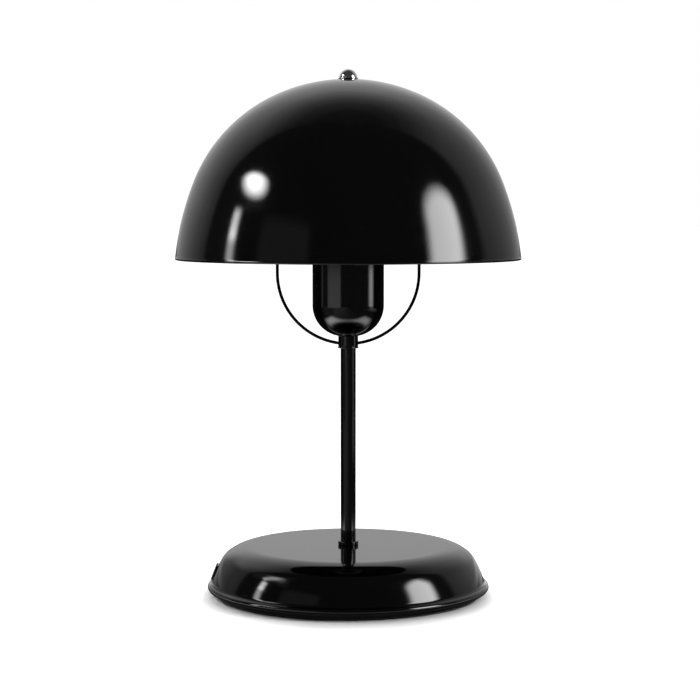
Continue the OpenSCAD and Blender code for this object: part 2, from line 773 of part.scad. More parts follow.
module holder_cup() {
  inner_r = cup_d / 2 - cup_wall;
  color(black_lacquer) difference() {
    translate([0, 0, cup_z]) rotate_extrude() {
      difference() {
        pot_outline(cup_d / 2, cup_corner_r, cup_h - cup_wall / 2);
        translate([0, cup_wall]) pot_outline(inner_r, cup_corner_r - cup_wall, cup_h);
      }
      translate([inner_r + cup_wall / 2, cup_h - cup_wall / 2]) circle(cup_wall / 2);
    }
    translate([0, 0, cup_z - eps]) cylinder(r = pass_r, h = cup_wall + cut);
  }
}

module cup_washer() {
  inner_r = cup_d / 2 - cup_wall;
  color(zinc) difference() {
    translate([0, 0, cup_z]) rotate_extrude() intersection() {
      translate([0, cup_wall + thread_fit]) pot_outline(inner_r, cup_corner_r - cup_wall, cup_h);
      square([cup_washer_d / 2, cup_wall + cup_washer_h]);
    }
    translate([0, 0, cup_z]) cylinder(r = pass_r, h = cup_wall + cup_washer_h + eps);
  }
}

module cup_nut() {
  color(zinc) hexagon_nut(cup_nut_z);
}

module holder_cap() {
  r = holder_d / 2;
  ledge_r = r - holder_wall - ledge_w;
  color(phenolic) difference() {
    union() {
      translate([0, 0, holder_z]) rotate_extrude() difference() {
        pot_outline(r, holder_corner_r, skirt_z - holder_z);
        translate([0, holder_wall]) pot_outline(ledge_r, holder_corner_r - holder_wall, skirt_z - holder_z);
        translate([0, insert_z - holder_z]) square([r - holder_wall, insert_t]);
      }
      translate([0, 0, holder_z]) cylinder(r = entry_d / 2, h = entry_h);
    }
    translate([0, 0, holder_z - eps]) cylinder(r = thread_hole_r, h = entry_h + 2 * eps);
  }
}

module holder_insert() {
  color(porcelain) difference() {
    translate([0, 0, insert_z]) cylinder(r = holder_d / 2 - holder_wall - head_fit, h = insert_t);
    for (s = [-1, 1]) translate([0, s * post_offset, insert_z - eps])
      cylinder(r = terminal_screw_r + thread_fit, h = terminal_grip + cut);
  }
}

module terminal_posts() {
  color(brass) for (s = [-1, 1]) difference() {
    translate([-post_w / 2, s * post_offset - post_w / 2, post_z]) cube([post_w, post_w, post_h]);
    translate([0, s * post_offset, post_z - eps])
      cylinder(r = terminal_screw_r + thread_fit, h = post_h + 2 * eps);
  }
}

module terminal_screws() {
  color(zinc) for (s = [-1, 1]) translate([0, s * post_offset, post_z]) {
    cylinder(r = terminal_screw_r, h = post_h + terminal_grip);
    translate([0, 0, -terminal_head_h]) cylinder(r = terminal_head_r, h = terminal_head_h);
  }
}

module screw_shell() {
  r = screw_shell_d / 2;
  color(zinc) translate([0, 0, shell_z]) difference() {
    cylinder(r = r + contact_t, h = screw_shell_h);
    translate([0, 0, contact_t]) cylinder(r = r, h = screw_shell_h);
    translate([0, 0, -eps]) cylinder(r = contact_r + contact_room, h = contact_t + cut);
  }
}

module centre_contact() {
  color(brass) translate([0, contact_w / 2, shell_z]) rotate([90, 0, 0]) linear_extrude(contact_w) {
    intersection() {
      difference() {
        circle(contact_r);
        circle(contact_r - contact_t);
      }
      translate([-contact_r, 0]) square([2 * contact_r, contact_r]);
    }
  }
}

module holder_skirt() {
  r = holder_d / 2;
  shell_r = screw_shell_d / 2 + contact_t;
  color(phenolic) difference() {
    translate([0, 0, skirt_z]) rotate_extrude() round_edge_outline(r, skirt_top - skirt_z, skirt_edge);
    translate([0, 0, skirt_z - eps]) cylinder(r = r - holder_wall, h = shell_z - skirt_z + eps);
    translate([0, 0, shell_z - eps]) cylinder(r = shell_r + shell_gap, h = screw_shell_h + lip_rise + eps);
    translate([0, 0, shell_z]) cylinder(r = shell_r + lip_gap, h = skirt_h + eps);
  }
}

module finial_stud() {
  color(zinc) difference() {
    union() {
      translate([0, 0, harp_top]) rotate_extrude() intersection() {
        round_edge_outline(stud_flange_d / 2, 2 * stud_flange_t, stud_edge);
        square([stud_flange_d / 2, stud_flange_t]);
      }
      translate([0, 0, harp_top]) cylinder(r = stud_r, h = stud_top - harp_top);
    }
    harp_upper(wire_r + wire_fit);
  }
}

module shade_washer() {
  color(rubber) tube(shade_washer_r, stud_r + 2 * thread_fit, shade_washer_t, shade_washer_z);
}

module shade_dome() {
  rim_mid = [rim_r - rim_bead_d / 2, shade_rim_z + rim_bead_d / 2];
  color(black_lacquer) difference() {
    rotate_extrude() {
      polygon(concat(shade_line(shade_wall), reversed(shade_line(0))));
      translate(rim_mid) circle(rim_bead_d / 2);
    }
    translate([0, 0, shade_top - shade_wall - cut]) cylinder(r = shade_hole_r, h = shade_wall + 2 * cut);
  }
}

module finial_washer() {
  color(chrome) tube(finial_washer_d / 2, stud_r + 2 * thread_fit, finial_washer_t, finial_washer_z);
}

module finial_cap() {
  r = finial_d / 2;
  color(chrome) difference() {
    translate([0, 0, finial_z]) rotate_extrude() intersection() {
      translate([0, finial_h - r]) circle(r);
      square([r, finial_h]);
    }
    translate([0, 0, finial_z - eps]) cylinder(r = stud_r + thread_fit, h = finial_h - finial_skin + eps);
  }
}

module bulb_contact() {
  color(brass) translate([0, 0, bulb_z]) rotate_extrude() intersection() {
    round_edge_outline(bulb_contact_d / 2, 2 * bulb_contact_h, 0.8 * bulb_contact_h);
    square([bulb_contact_d / 2, bulb_contact_h]);
  }
}

module bulb_insulator() {
  color(rubber) translate([0, 0, bulb_insulator_z])
    cylinder(r1 = bulb_insulator_d / 2, r2 = bulb_cap_r - bulb_cap_edge, h = bulb_insulator_h);
}

module bulb_cap() {
  color(zinc) translate([0, 0, bulb_cap_z]) rotate_extrude()
    pot_outline(bulb_cap_r, bulb_cap_edge, bulb_cap_h);
}

module bulb_body() {
  neck_r = bulb_cap_r + bulb_step;
  flare = globe_foot_r - neck_r;
  flare_r = (bulb_body_h * bulb_body_h + flare * flare) / (2 * flare);
  color(opal) translate([0, 0, bulb_body_z]) rotate_extrude() difference() {
    square([globe_foot_r, bulb_body_h]);
    translate([neck_r + flare_r, 0]) circle(flare_r);
  }
}

module bulb_globe() {
  color(opal) rotate_extrude() intersection() {
    translate([0, globe_mid]) difference() {
      circle(globe_r);
      circle(globe_r - globe_wall);
    }
    translate([0, globe_z]) square([globe_r, 2 * globe_r]);
  }
}

felt_pad();
base_plate();
plate_screws();
base_weight();
base_washer();
base_nut();
base_shell();
cord_bush();
terminal_block();
block_clamp_screws();
block_mount_screw();
live_lead();
neutral_lead();
stem_ring();
stem_tube();
neck_locknut();
neck_collar();
harp_wire();
holder_cup();
cup_washer();
cup_nut();
holder_cap();
holder_insert();
terminal_posts();
terminal_screws();
screw_shell();
centre_contact();
holder_skirt();
finial_stud();
shade_washer();
shade_dome();
finial_washer();
finial_cap();
bulb_contact();
bulb_insulator();
bulb_cap();
bulb_body();
bulb_globe();
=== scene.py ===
import math

import bmesh
import bpy
from mathutils import Matrix, Vector


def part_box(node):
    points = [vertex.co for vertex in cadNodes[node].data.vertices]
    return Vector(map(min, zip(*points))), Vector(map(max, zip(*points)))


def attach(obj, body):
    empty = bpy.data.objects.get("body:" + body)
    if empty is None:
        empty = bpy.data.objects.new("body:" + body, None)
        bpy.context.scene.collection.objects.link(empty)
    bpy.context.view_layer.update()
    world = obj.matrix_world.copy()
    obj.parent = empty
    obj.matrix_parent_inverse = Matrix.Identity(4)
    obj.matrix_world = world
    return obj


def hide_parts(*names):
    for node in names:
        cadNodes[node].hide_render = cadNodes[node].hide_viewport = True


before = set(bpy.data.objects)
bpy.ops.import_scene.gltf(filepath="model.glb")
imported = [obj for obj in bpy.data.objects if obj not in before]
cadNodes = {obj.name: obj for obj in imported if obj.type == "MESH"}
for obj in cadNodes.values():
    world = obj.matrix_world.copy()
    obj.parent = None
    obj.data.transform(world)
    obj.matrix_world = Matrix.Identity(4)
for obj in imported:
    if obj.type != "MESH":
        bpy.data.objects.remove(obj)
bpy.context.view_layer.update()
mm = 0.001
print("stage: frame loaded")


# Shader helpers

def addNode(tree, kind, sockets=None, **settings):
    node = tree.nodes.new("ShaderNode" + kind)
    for key, value in settings.items():
        setattr(node, key, value)
    for key, value in (sockets or {}).items():
        if isinstance(value, bpy.types.NodeSocket):
            tree.links.new(value, node.inputs[key])
        else:
            node.inputs[key].default_value = value
    return node


def calc(tree, operation, first, second=0.0):
    return addNode(tree, "Math", {0: first, 1: second}, operation=operation).outputs[0]


def product(tree, first, *others):
    for value in others:
        first = calc(tree, "MULTIPLY", first, value)
    return first


def average(tree, first, second):
    return calc(tree, "MULTIPLY", calc(tree, "ADD", first, second), 0.5)


def lengthOf(tree, first, second):
    squares = calc(tree, "ADD", product(tree, first, first), product(tree, second, second))
    return calc(tree, "SQRT", squares)


# A value that eases from one end to the other, or with LINEAR runs straight
def ramp(tree, value, low, high, outLow=0.0, outHigh=1.0, kind="SMOOTHSTEP"):
    sockets = {"Value": value, "From Min": low, "From Max": high, "To Min": outLow, "To Max": outHigh}
    return addNode(tree, "MapRange", sockets, interpolation_type=kind).outputs["Result"]


def mixColour(tree, factor, first, second):
    return addNode(tree, "Mix", {0: factor, 6: first, 7: second}, data_type="RGBA").outputs[2]


def noise(tree, vector, scale, detail=2.0, rough=0.5, twist=0.0):
    sockets = {"Vector": vector, "Scale": scale, "Detail": detail, "Roughness": rough, "Distortion": twist}
    return addNode(tree, "TexNoise", sockets).outputs["Fac"]


def newGroup(name, inputs, outputs):
    group = bpy.data.node_groups.new(name, "ShaderNodeTree")
    for label, value in inputs.items():
        socket = group.interface.new_socket(label, in_out="INPUT", socket_type="NodeSocketFloat")
        socket.default_value = value
    for label in outputs:
        group.interface.new_socket(label, in_out="OUTPUT", socket_type="NodeSocketFloat")
    given = group.nodes.new("NodeGroupInput").outputs
    result = group.nodes.new("NodeGroupOutput").inputs
    place = addNode(group, "TexCoord").outputs["Object"]
    return group, given, result, place


def useGroup(tree, group, values):
    node = tree.nodes.new("ShaderNodeGroup")
    node.node_tree = group
    for label, value in values.items():
        node.inputs[label].default_value = value
    return node.outputs


# Shared effects: lacquer skin, turned metal, grain and rubbed edges

skinValues = {"rippleShare": 0.05, "smudge": (0.3, 0.75), "speckScale": 1900.0, "speck": (0.79, 0.85),
              "patchScale": 60.0, "patch": (0.45, 0.7), "upward": (0.25, 0.9)}
paintSkin, given, result, place = newGroup(
    "paintSkin", {"Ripple Scale": 620.0, "Wave Scale": 24.0, "Smudge Scale": 30.0},
    ["Height", "Smudge", "Dust"])
ripple = noise(paintSkin, place, given["Ripple Scale"], detail=1.0, rough=0.4)
wave = noise(paintSkin, place, given["Wave Scale"], detail=1.0, rough=0.3)
smudge = noise(paintSkin, place, given["Smudge Scale"], detail=5.0, rough=0.62, twist=0.7)
height = calc(paintSkin, "ADD", product(paintSkin, ripple, skinValues["rippleShare"]), wave)
paintSkin.links.new(height, result["Height"])
paintSkin.links.new(smudge, result["Smudge"])
normal = addNode(paintSkin, "NewGeometry").outputs["Normal"]
facing = addNode(paintSkin, "SeparateXYZ", {0: normal}).outputs["Z"]
speck = ramp(paintSkin, noise(paintSkin, place, skinValues["speckScale"], detail=0.0), *skinValues["speck"])
patch = ramp(paintSkin, noise(paintSkin, place, skinValues["patchScale"]), *skinValues["patch"])
settled = product(paintSkin, ramp(paintSkin, facing, *skinValues["upward"]), patch)
paintSkin.links.new(product(paintSkin, speck, settled), result["Dust"])

turnedMetal, given, result, place = newGroup(
    "turnedMetal", {"Line Scale": 9000.0, "Stain Scale": 90.0}, ["Lines", "Stain"])
parts = addNode(turnedMetal, "SeparateXYZ", {0: place}).outputs
offAxis = lengthOf(turnedMetal, parts["X"], parts["Y"])
rings = addNode(turnedMetal, "CombineXYZ", {0: offAxis, 1: parts["Z"]}).outputs[0]
lines = noise(turnedMetal, rings, given["Line Scale"], rough=0.6)
stain = noise(turnedMetal, place, given["Stain Scale"], detail=4.0, rough=0.6, twist=0.5)
turnedMetal.links.new(lines, result["Lines"])
turnedMetal.links.new(stain, result["Stain"])

grainField, given, result, place = newGroup(
    "grainField", {"Scale": 800.0, "Patch Scale": 60.0}, ["Fine", "Patch"])
fine = noise(grainField, place, given["Scale"], detail=4.0, rough=0.65)
patch = noise(grainField, place, given["Patch Scale"], detail=3.0, rough=0.55, twist=0.4)
grainField.links.new(fine, result["Fine"])
grainField.links.new(patch, result["Patch"])

rubValues = {"chipScale": 420.0, "chips": (0.52, 0.72), "reach": (1.0, 0.2)}
edgeRub, given, result, place = newGroup("edgeRub", {"Level": 0.0, "Width": 0.001}, ["Mask"])
level = addNode(edgeRub, "SeparateXYZ", {0: place}).outputs["Z"]
offLevel = calc(edgeRub, "ABSOLUTE", calc(edgeRub, "SUBTRACT", level, given["Level"]))
away = calc(edgeRub, "DIVIDE", offLevel, given["Width"])
chips = noise(edgeRub, place, rubValues["chipScale"], detail=4.0, rough=0.7)
chips = ramp(edgeRub, chips, *rubValues["chips"])
edgeRub.links.new(product(edgeRub, ramp(edgeRub, away, *rubValues["reach"]), chips), result["Mask"])


# Materials

noiseSpan = (0.3, 0.7)  # most of a noise lies between these
glowReach = 4 * mm


def newMaterial(name):
    material = bpy.data.materials.new(name)
    material.use_nodes = True
    tree = material.node_tree
    return material, tree, tree.nodes["Principled BSDF"]


def setBump(tree, shader, height, strength, distance):
    bump = addNode(tree, "Bump", {"Height": height, "Strength": strength, "Distance": distance})
    tree.links.new(bump.outputs["Normal"], shader.inputs["Normal"])


def paintMaterial(name, values):
    material, tree, shader = newMaterial(name)
    skin = useGroup(tree, paintSkin, {
        "Ripple Scale": values["ripple"], "Wave Scale": values["wave"], "Smudge Scale": values["smudge"]})
    colour = mixColour(tree, skin["Smudge"], values["dark"], values["light"])
    if "rubLevel" in values:
        rub = useGroup(tree, edgeRub, {"Level": values["rubLevel"], "Width": values["rubWidth"]})["Mask"]
        colour = mixColour(tree, product(tree, rub, values["rubAmount"]), colour, values["rubColour"])
    dust = product(tree, skin["Dust"], values["dust"])
    tree.links.new(mixColour(tree, dust, colour, values["dustColour"]), shader.inputs["Base Color"])
    roughness = ramp(tree, skin["Smudge"], *skinValues["smudge"], values["smooth"], values["rough"])
    tree.links.new(roughness, shader.inputs["Roughness"])
    shader.inputs["IOR"].default_value = values.get("ior", 1.5)
    setBump(tree, shader, skin["Height"], values["bump"], values["bumpDepth"])
    return material


def metalMaterial(name, values):
    material, tree, shader = newMaterial(name)
    turned = useGroup(tree, turnedMetal, {"Line Scale": values["lines"], "Stain Scale": values["stain"]})
    colour = mixColour(tree, turned["Stain"], values["dark"], values["light"])
    tree.links.new(colour, shader.inputs["Base Color"])
    both = average(tree, turned["Lines"], turned["Stain"])
    roughness = ramp(tree, both, *noiseSpan, values["smooth"], values["rough"])
    tree.links.new(roughness, shader.inputs["Roughness"])
    shader.inputs["Metallic"].default_value = 1.0
    setBump(tree, shader, turned["Lines"], values["bump"], values["bumpDepth"])
    return material


def grainMaterial(name, values):
    material, tree, shader = newMaterial(name)
    grain = useGroup(tree, grainField, {"Scale": values["scale"], "Patch Scale": values["patch"]})
    both = ramp(tree, average(tree, grain["Fine"], grain["Patch"]), *noiseSpan)
    tree.links.new(mixColour(tree, both, values["dark"], values["light"]), shader.inputs["Base Color"])
    roughness = ramp(tree, grain["Patch"], *noiseSpan, values["smooth"], values["rough"])
    tree.links.new(roughness, shader.inputs["Roughness"])
    shader.inputs["Metallic"].default_value = values.get("metal", 0.0)
    shader.inputs["Subsurface Weight"].default_value = values.get("glow", 0.0)
    shader.inputs["Subsurface Radius"].default_value = (glowReach, glowReach, glowReach)
    shader.inputs["Sheen Weight"].default_value = values.get("sheen", 0.0)
    setBump(tree, shader, grain["Fine"], values["bump"], values["bumpDepth"])
    return material


def grey(value, warm=0.0):
    return (value * (1 + warm), value, value * (1 - warm), 1.0)


lacquerLook = {
    "ripple": 620.0, "wave": 24.0, "smudge": 30.0, "dark": grey(0.0006), "light": grey(0.0012),
    "smooth": 0.06, "rough": 0.1, "bump": 0.25, "bumpDepth": 0.4 * mm, "dust": 0.12,
    "dustColour": grey(0.3, 0.04)}
blackLacquer = paintMaterial("blackLacquer", lacquerLook)
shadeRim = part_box("shade_dome")[0].z
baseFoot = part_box("base_shell")[0].z
shadeLacquer = paintMaterial("shadeLacquer", {
    **lacquerLook, "rubLevel": shadeRim + 0.3 * mm, "rubWidth": 0.7 * mm, "rubAmount": 0.25,
    "rubColour": grey(0.09)})
baseLacquer = paintMaterial("baseLacquer", {
    **lacquerLook, "rubLevel": baseFoot + 0.6 * mm, "rubWidth": 1.0 * mm, "rubAmount": 0.25,
    "rubColour": grey(0.09)})
wireEnamel = paintMaterial("wireEnamel", {**lacquerLook, "smooth": 0.22, "rough": 0.34, "ior": 1.2})
satinBlack = paintMaterial("satinBlack", {
    "ripple": 500.0, "wave": 24.0, "smudge": 26.0, "dark": grey(0.004), "light": grey(0.008),
    "smooth": 0.32, "rough": 0.46, "bump": 0.25, "bumpDepth": 0.3 * mm, "dust": 0.1,
    "dustColour": grey(0.2, 0.05)})
chromePlate = metalMaterial("chromePlate", {
    "lines": 5200.0, "stain": 260.0, "dark": grey(0.68), "light": grey(0.8), "smooth": 0.04, "rough": 0.11,
    "bump": 0.05, "bumpDepth": 0.1 * mm})
zincSteel = metalMaterial("zincSteel", {
    "lines": 4200.0, "stain": 180.0, "dark": (0.42, 0.43, 0.45, 1), "light": (0.6, 0.61, 0.62, 1),
    "smooth": 0.24, "rough": 0.42, "bump": 0.15, "bumpDepth": 0.1 * mm})
nickelSheet = metalMaterial("nickelSheet", {
    "lines": 5200.0, "stain": 140.0, "dark": (0.5, 0.49, 0.46, 1), "light": (0.68, 0.66, 0.62, 1),
    "smooth": 0.16, "rough": 0.32, "bump": 0.1, "bumpDepth": 0.1 * mm})
brassTurned = metalMaterial("brassTurned", {
    "lines": 5200.0, "stain": 200.0, "dark": (0.5, 0.34, 0.12, 1), "light": (0.72, 0.52, 0.22, 1),
    "smooth": 0.2, "rough": 0.38, "bump": 0.12, "bumpDepth": 0.1 * mm})
castIron = grainMaterial("castIron", {
    "scale": 520.0, "patch": 45.0, "dark": grey(0.018), "light": grey(0.05), "smooth": 0.5, "rough": 0.75,
    "metal": 0.4, "bump": 0.6, "bumpDepth": 0.8 * mm})
feltCloth = grainMaterial("feltCloth", {
    "scale": 1900.0, "patch": 160.0, "dark": grey(0.006), "light": grey(0.02), "smooth": 0.9, "rough": 1.0,
    "sheen": 0.3, "bump": 0.7, "bumpDepth": 0.8 * mm})
blackRubber = grainMaterial("blackRubber", {
    "scale": 1500.0, "patch": 120.0, "dark": grey(0.006), "light": grey(0.014), "smooth": 0.45,
    "rough": 0.65, "bump": 0.3, "bumpDepth": 0.3 * mm})
blackPhenolic = grainMaterial("blackPhenolic", {
    "scale": 900.0, "patch": 70.0, "dark": grey(0.006, 0.06), "light": grey(0.014, 0.08), "smooth": 0.18,
    "rough": 0.34, "bump": 0.12, "bumpDepth": 0.2 * mm})
glazedPorcelain = grainMaterial("glazedPorcelain", {
    "scale": 700.0, "patch": 50.0, "dark": (0.74, 0.72, 0.66, 1), "light": (0.82, 0.8, 0.75, 1),
    "smooth": 0.12, "rough": 0.26, "bump": 0.08, "bumpDepth": 0.2 * mm})
whitePlastic = grainMaterial("whitePlastic", {
    "scale": 1100.0, "patch": 60.0, "dark": (0.74, 0.74, 0.72, 1), "light": (0.8, 0.8, 0.785, 1),
    "smooth": 0.32, "rough": 0.46, "bump": 0.12, "bumpDepth": 0.2 * mm})
opalPlastic = grainMaterial("opalPlastic", {
    "scale": 900.0, "patch": 40.0, "dark": (0.8, 0.8, 0.775, 1), "light": (0.86, 0.86, 0.84, 1),
    "smooth": 0.3, "rough": 0.42, "glow": 0.6, "bump": 0.06, "bumpDepth": 0.2 * mm})
blackGlass = grainMaterial("blackGlass", {
    "scale": 900.0, "patch": 90.0, "dark": grey(0.003), "light": grey(0.008), "smooth": 0.06, "rough": 0.14,
    "bump": 0.05, "bumpDepth": 0.2 * mm})
brownSheath = grainMaterial("brownSheath", {
    "scale": 1400.0, "patch": 110.0, "dark": (0.085, 0.032, 0.014, 1), "light": (0.12, 0.05, 0.024, 1),
    "smooth": 0.35, "rough": 0.5, "bump": 0.12, "bumpDepth": 0.2 * mm})
blueSheath = grainMaterial("blueSheath", {
    "scale": 1400.0, "patch": 110.0, "dark": (0.012, 0.05, 0.24, 1), "light": (0.02, 0.075, 0.32, 1),
    "smooth": 0.35, "rough": 0.5, "bump": 0.12, "bumpDepth": 0.2 * mm})
print("stage: materials made")


# Shapes

shaping = {"sharpDeg": 32, "roundSteps": 6, "trimShare": 0.49, "holdMost": 0.3 * mm, "holdShare": 0.005,
           "halvings": 40, "onAxis": 1e-7}


def solvePair(a, b, p, c, d, q):
    whole = a * d - b * c
    return (p * d - b * q) / whole, (a * q - p * c) / whole


# A direction that leans off the vertical by an angle
def leaning(turn):
    return Vector((math.sin(turn), math.cos(turn)))


# The upper point where two circles cross
def crossing(first, firstR, second, secondR):
    ahead = (second - first).normalized()
    gap = (second - first).length
    along = (firstR ** 2 - secondR ** 2 + gap ** 2) / (2 * gap)
    return first + ahead * along + Vector((-ahead.y, ahead.x)) * math.sqrt(firstR ** 2 - along ** 2)


# Points of an arc, from one angle off the vertical to another
def arcLine(centre, radius, startDeg, endDeg, stepDeg):
    steps = max(2, math.ceil(abs(endDeg - startDeg) / stepDeg))
    line = []
    for step in range(steps + 1):
        angle = math.radians(startDeg + (endDeg - startDeg) * step / steps)
        line.append((centre[0] + radius * math.sin(angle), centre[1] + radius * math.cos(angle)))
    return line


# Even points up or down a straight wall
def evenLine(radius, start, end, steps):
    return [(radius, start + (end - start) * step / steps) for step in range(steps + 1)]


# A line up to the point where it runs into a circle
def cutAt(line, centre, radius):
    kept = [line[0]]
    for point in line[1:]:
        if math.dist(point, centre) < radius:
            near, far = kept[-1], point
            for _ in range(shaping["halvings"]):
                middle = ((near[0] + far[0]) / 2, (near[1] + far[1]) / 2)
                if math.dist(middle, centre) < radius:
                    far = middle
                else:
                    near = middle
            kept.append(near)
            break
        kept.append(point)
    return kept


# Section of a sheet that ends in a rolled bead: down the outside, round the bead and up the inside
def beadedSheet(outer, inner, centre, radius, steps):
    outer, inner = cutAt(outer, centre, radius), cutAt(inner, centre, radius)
    start = math.atan2(outer[-1][1] - centre[1], outer[-1][0] - centre[0])
    end = math.atan2(inner[-1][1] - centre[1], inner[-1][0] - centre[0])
    while end > start - math.pi:
        end -= 2 * math.pi
    roll = []
    for step in range(1, steps):
        angle = start + (end - start) * step / steps
        roll.append((centre[0] + radius * math.cos(angle), centre[1] + radius * math.sin(angle)))
    return outer, roll, inner[::-1]


# Distance from a rounding to the extra point that keeps a straight wall's shading straight
def holdLength(length):
    return min(shaping["holdMost"], shaping["holdShare"] * length)


# A closed or open line of (radius, height, rounding) corners with each corner rounded
def roundedLine(corners, closed=True):
    line = []
    steps = shaping["roundSteps"]
    for index, (radius, height, rounding) in enumerate(corners):
        here = Vector((radius, height))
        if rounding <= 0 or (not closed and index in (0, len(corners) - 1)):
            line.append((radius, height))
            continue
        back = Vector(corners[index - 1][:2]) - here
        ahead = Vector(corners[(index + 1) % len(corners)][:2]) - here
        half = back.angle(ahead) / 2
        most = shaping["trimShare"] * min(back.length, ahead.length)
        trim = min(rounding / math.tan(half), most)
        size = trim * math.tan(half)
        centre = here + (back.normalized() + ahead.normalized()).normalized() * size / math.sin(half)
        first = here + back.normalized() * trim - centre
        last = here + ahead.normalized() * trim - centre
        start = math.atan2(first.y, first.x)
        turn = (math.atan2(last.y, last.x) - start + math.pi) % (2 * math.pi) - math.pi
        line.append(tuple(centre + first + back.normalized() * holdLength(back.length)))
        for step in range(steps + 1):
            angle = start + turn * step / steps
            line.append((centre.x + size * math.cos(angle), centre.y + size * math.sin(angle)))
        line.append(tuple(centre + last + ahead.normalized() * holdLength(ahead.length)))
    return line


# Section of a plain ring between a bore and its outside
def ringLine(low, high, boreR, edge, boreEdge=0.0):
    return roundedLine([
        (boreR, low.z, boreEdge), (high.x, low.z, edge), (high.x, high.z, edge), (boreR, high.z, boreEdge)])


# Half section of a solid, closed on the axis at the heights of its first and last corner
def discLine(corners):
    return [(0, corners[0][1])] + roundedLine(corners, closed=False) + [(0, corners[-1][1])]


def smoothShade(mesh):
    mesh.shade_smooth()
    mesh.set_sharp_from_angle(angle=math.radians(shaping["sharpDeg"]))


def makePiece(name, vertices, faces, materials, paints=None):
    mesh = bpy.data.meshes.new(name)
    mesh.from_pydata(vertices, [], faces)
    for material in materials:
        mesh.materials.append(material)
    if paints:
        mesh.polygons.foreach_set("material_index", paints)
    shape = bmesh.new()
    shape.from_mesh(mesh)
    bmesh.ops.recalc_face_normals(shape, faces=shape.faces)
    shape.to_mesh(mesh)
    shape.free()
    smoothShade(mesh)
    piece = bpy.data.objects.new(name, mesh)
    bpy.context.scene.collection.objects.link(piece)
    return piece


# Turns an outline round Z. A wobble changes the radius by angle and height, for threads.
def lathe(name, outline, around, materials, closed=True, inside=(0, 0), wobble=None):
    vertices, rings = [], []
    for radius, height in outline:
        if radius < shaping["onAxis"]:
            rings.append([len(vertices)] * around)
            vertices.append((0, 0, height))
            continue
        rings.append(list(range(len(vertices), len(vertices) + around)))
        for step in range(around):
            angle = 2 * math.pi * step / around
            reach = wobble(radius, angle, height) if wobble else radius
            vertices.append((reach * math.cos(angle), reach * math.sin(angle), height))
    faces, paints = [], []
    for index in range(len(rings) if closed else len(rings) - 1):
        lower, upper = rings[index], rings[(index + 1) % len(rings)]
        for step in range(around):
            after = (step + 1) % around
            face = list(dict.fromkeys((lower[step], lower[after], upper[after], upper[step])))
            if len(face) > 2:
                faces.append(face)
                paints.append(1 if inside[0] <= index < inside[1] else 0)
    return makePiece(name, vertices, faces, materials, paints)


# Lets a piece stand for its CAD node and ride on a body
def settle(piece, body, node):
    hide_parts(node)
    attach(piece, body)


# Shade: spun dome with a rolled rim, gloss black outside and satin black inside
shade = {"crownR": 126 * mm, "crownDeg": 24.0, "shoulderDeg": 68.5, "rimDeg": 84.0, "wall": 1 * mm,
         "beadR": 1.1 * mm, "holeR": 3.3 * mm, "stepDeg": 0.8, "sideStepDeg": 0.4, "beadSteps": 36,
         "around": 320}
low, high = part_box("shade_dome")
rimR = high.x
shadeTop = high.z + shade["crownR"] - math.sqrt(shade["crownR"] ** 2 - shade["holeR"] ** 2)
crownTurn = math.radians(shade["crownDeg"])
shoulderTurn = math.radians(shade["shoulderDeg"])
rimTurn = math.radians(shade["rimDeg"])
shoulderR, sideR = solvePair(
    math.sin(shoulderTurn) - math.sin(crownTurn), math.sin(rimTurn) - math.sin(shoulderTurn),
    rimR - shade["crownR"] * math.sin(crownTurn),
    math.cos(crownTurn) - math.cos(shoulderTurn), math.cos(shoulderTurn) - math.cos(rimTurn),
    shadeTop - low.z - shade["crownR"] * (1 - math.cos(crownTurn)))
crownMid = Vector((0, shadeTop - shade["crownR"]))
shoulderMid = crownMid + (shade["crownR"] - shoulderR) * leaning(crownTurn)
sideMid = shoulderMid + (shoulderR - sideR) * leaning(shoulderTurn)


def shadeLine(inset):
    crownR = shade["crownR"] - inset
    holeDeg = math.degrees(math.asin(shade["holeR"] / crownR))
    crown = arcLine(crownMid, crownR, holeDeg, shade["crownDeg"], shade["stepDeg"])
    shoulder = arcLine(
        shoulderMid, shoulderR - inset, shade["crownDeg"], shade["shoulderDeg"], shade["stepDeg"])
    side = arcLine(sideMid, sideR - inset, shade["shoulderDeg"], shade["rimDeg"], shade["sideStepDeg"])
    return crown + shoulder[1:] + side[1:]


rimMid = (rimR - shade["beadR"], low.z + shade["beadR"])
outer, roll, inner = beadedSheet(
    shadeLine(0), shadeLine(shade["wall"]), rimMid, shade["beadR"], shade["beadSteps"])
insideStart = len(outer) + len(roll) // 2
shadeShell = lathe("shadeShell", outer + roll + inner, shade["around"], [shadeLacquer, satinBlack],
                   inside=(insideStart, len(outer) + len(roll) + len(inner) - 1))
settle(shadeShell, "shade", "shade_dome")

# Finial: half-round cap on a thin washer, both plated, over a threaded stud
finial = {"r": 6.5 * mm, "boreR": 3.05 * mm, "skin": 1.6 * mm, "edge": 0.18 * mm, "bevel": 0.054 * mm,
          "stepDeg": 3.0, "washerGap": 0.05 * mm, "washerEdge": 0.3 * mm, "washerBoreEdge": 0.1 * mm,
          "around": 128}
low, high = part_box("finial_cap")
capMid = (0.0, high.z - finial["r"])
capFootR = math.sqrt(finial["r"] ** 2 - (low.z - capMid[1]) ** 2)
edgeDeg = 90 - math.degrees(math.asin((low.z + finial["edge"] - capMid[1]) / finial["r"]))
boreTop = high.z - finial["skin"]
outline = [(0, boreTop), (finial["boreR"], boreTop), (finial["boreR"], low.z),
           (capFootR - finial["edge"], low.z), (capFootR - finial["bevel"], low.z + finial["bevel"])]
outline += arcLine(capMid, finial["r"], edgeDeg, 0.0, finial["stepDeg"])[:-1] + [(0, high.z)]
finialCap = lathe("finialCap", outline, finial["around"], [chromePlate], closed=False)
settle(finialCap, "finial", "finial_cap")
low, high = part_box("finial_washer")
outline = ringLine(low, high, finial["boreR"] + finial["washerGap"], finial["washerEdge"],
                   finial["washerBoreEdge"])
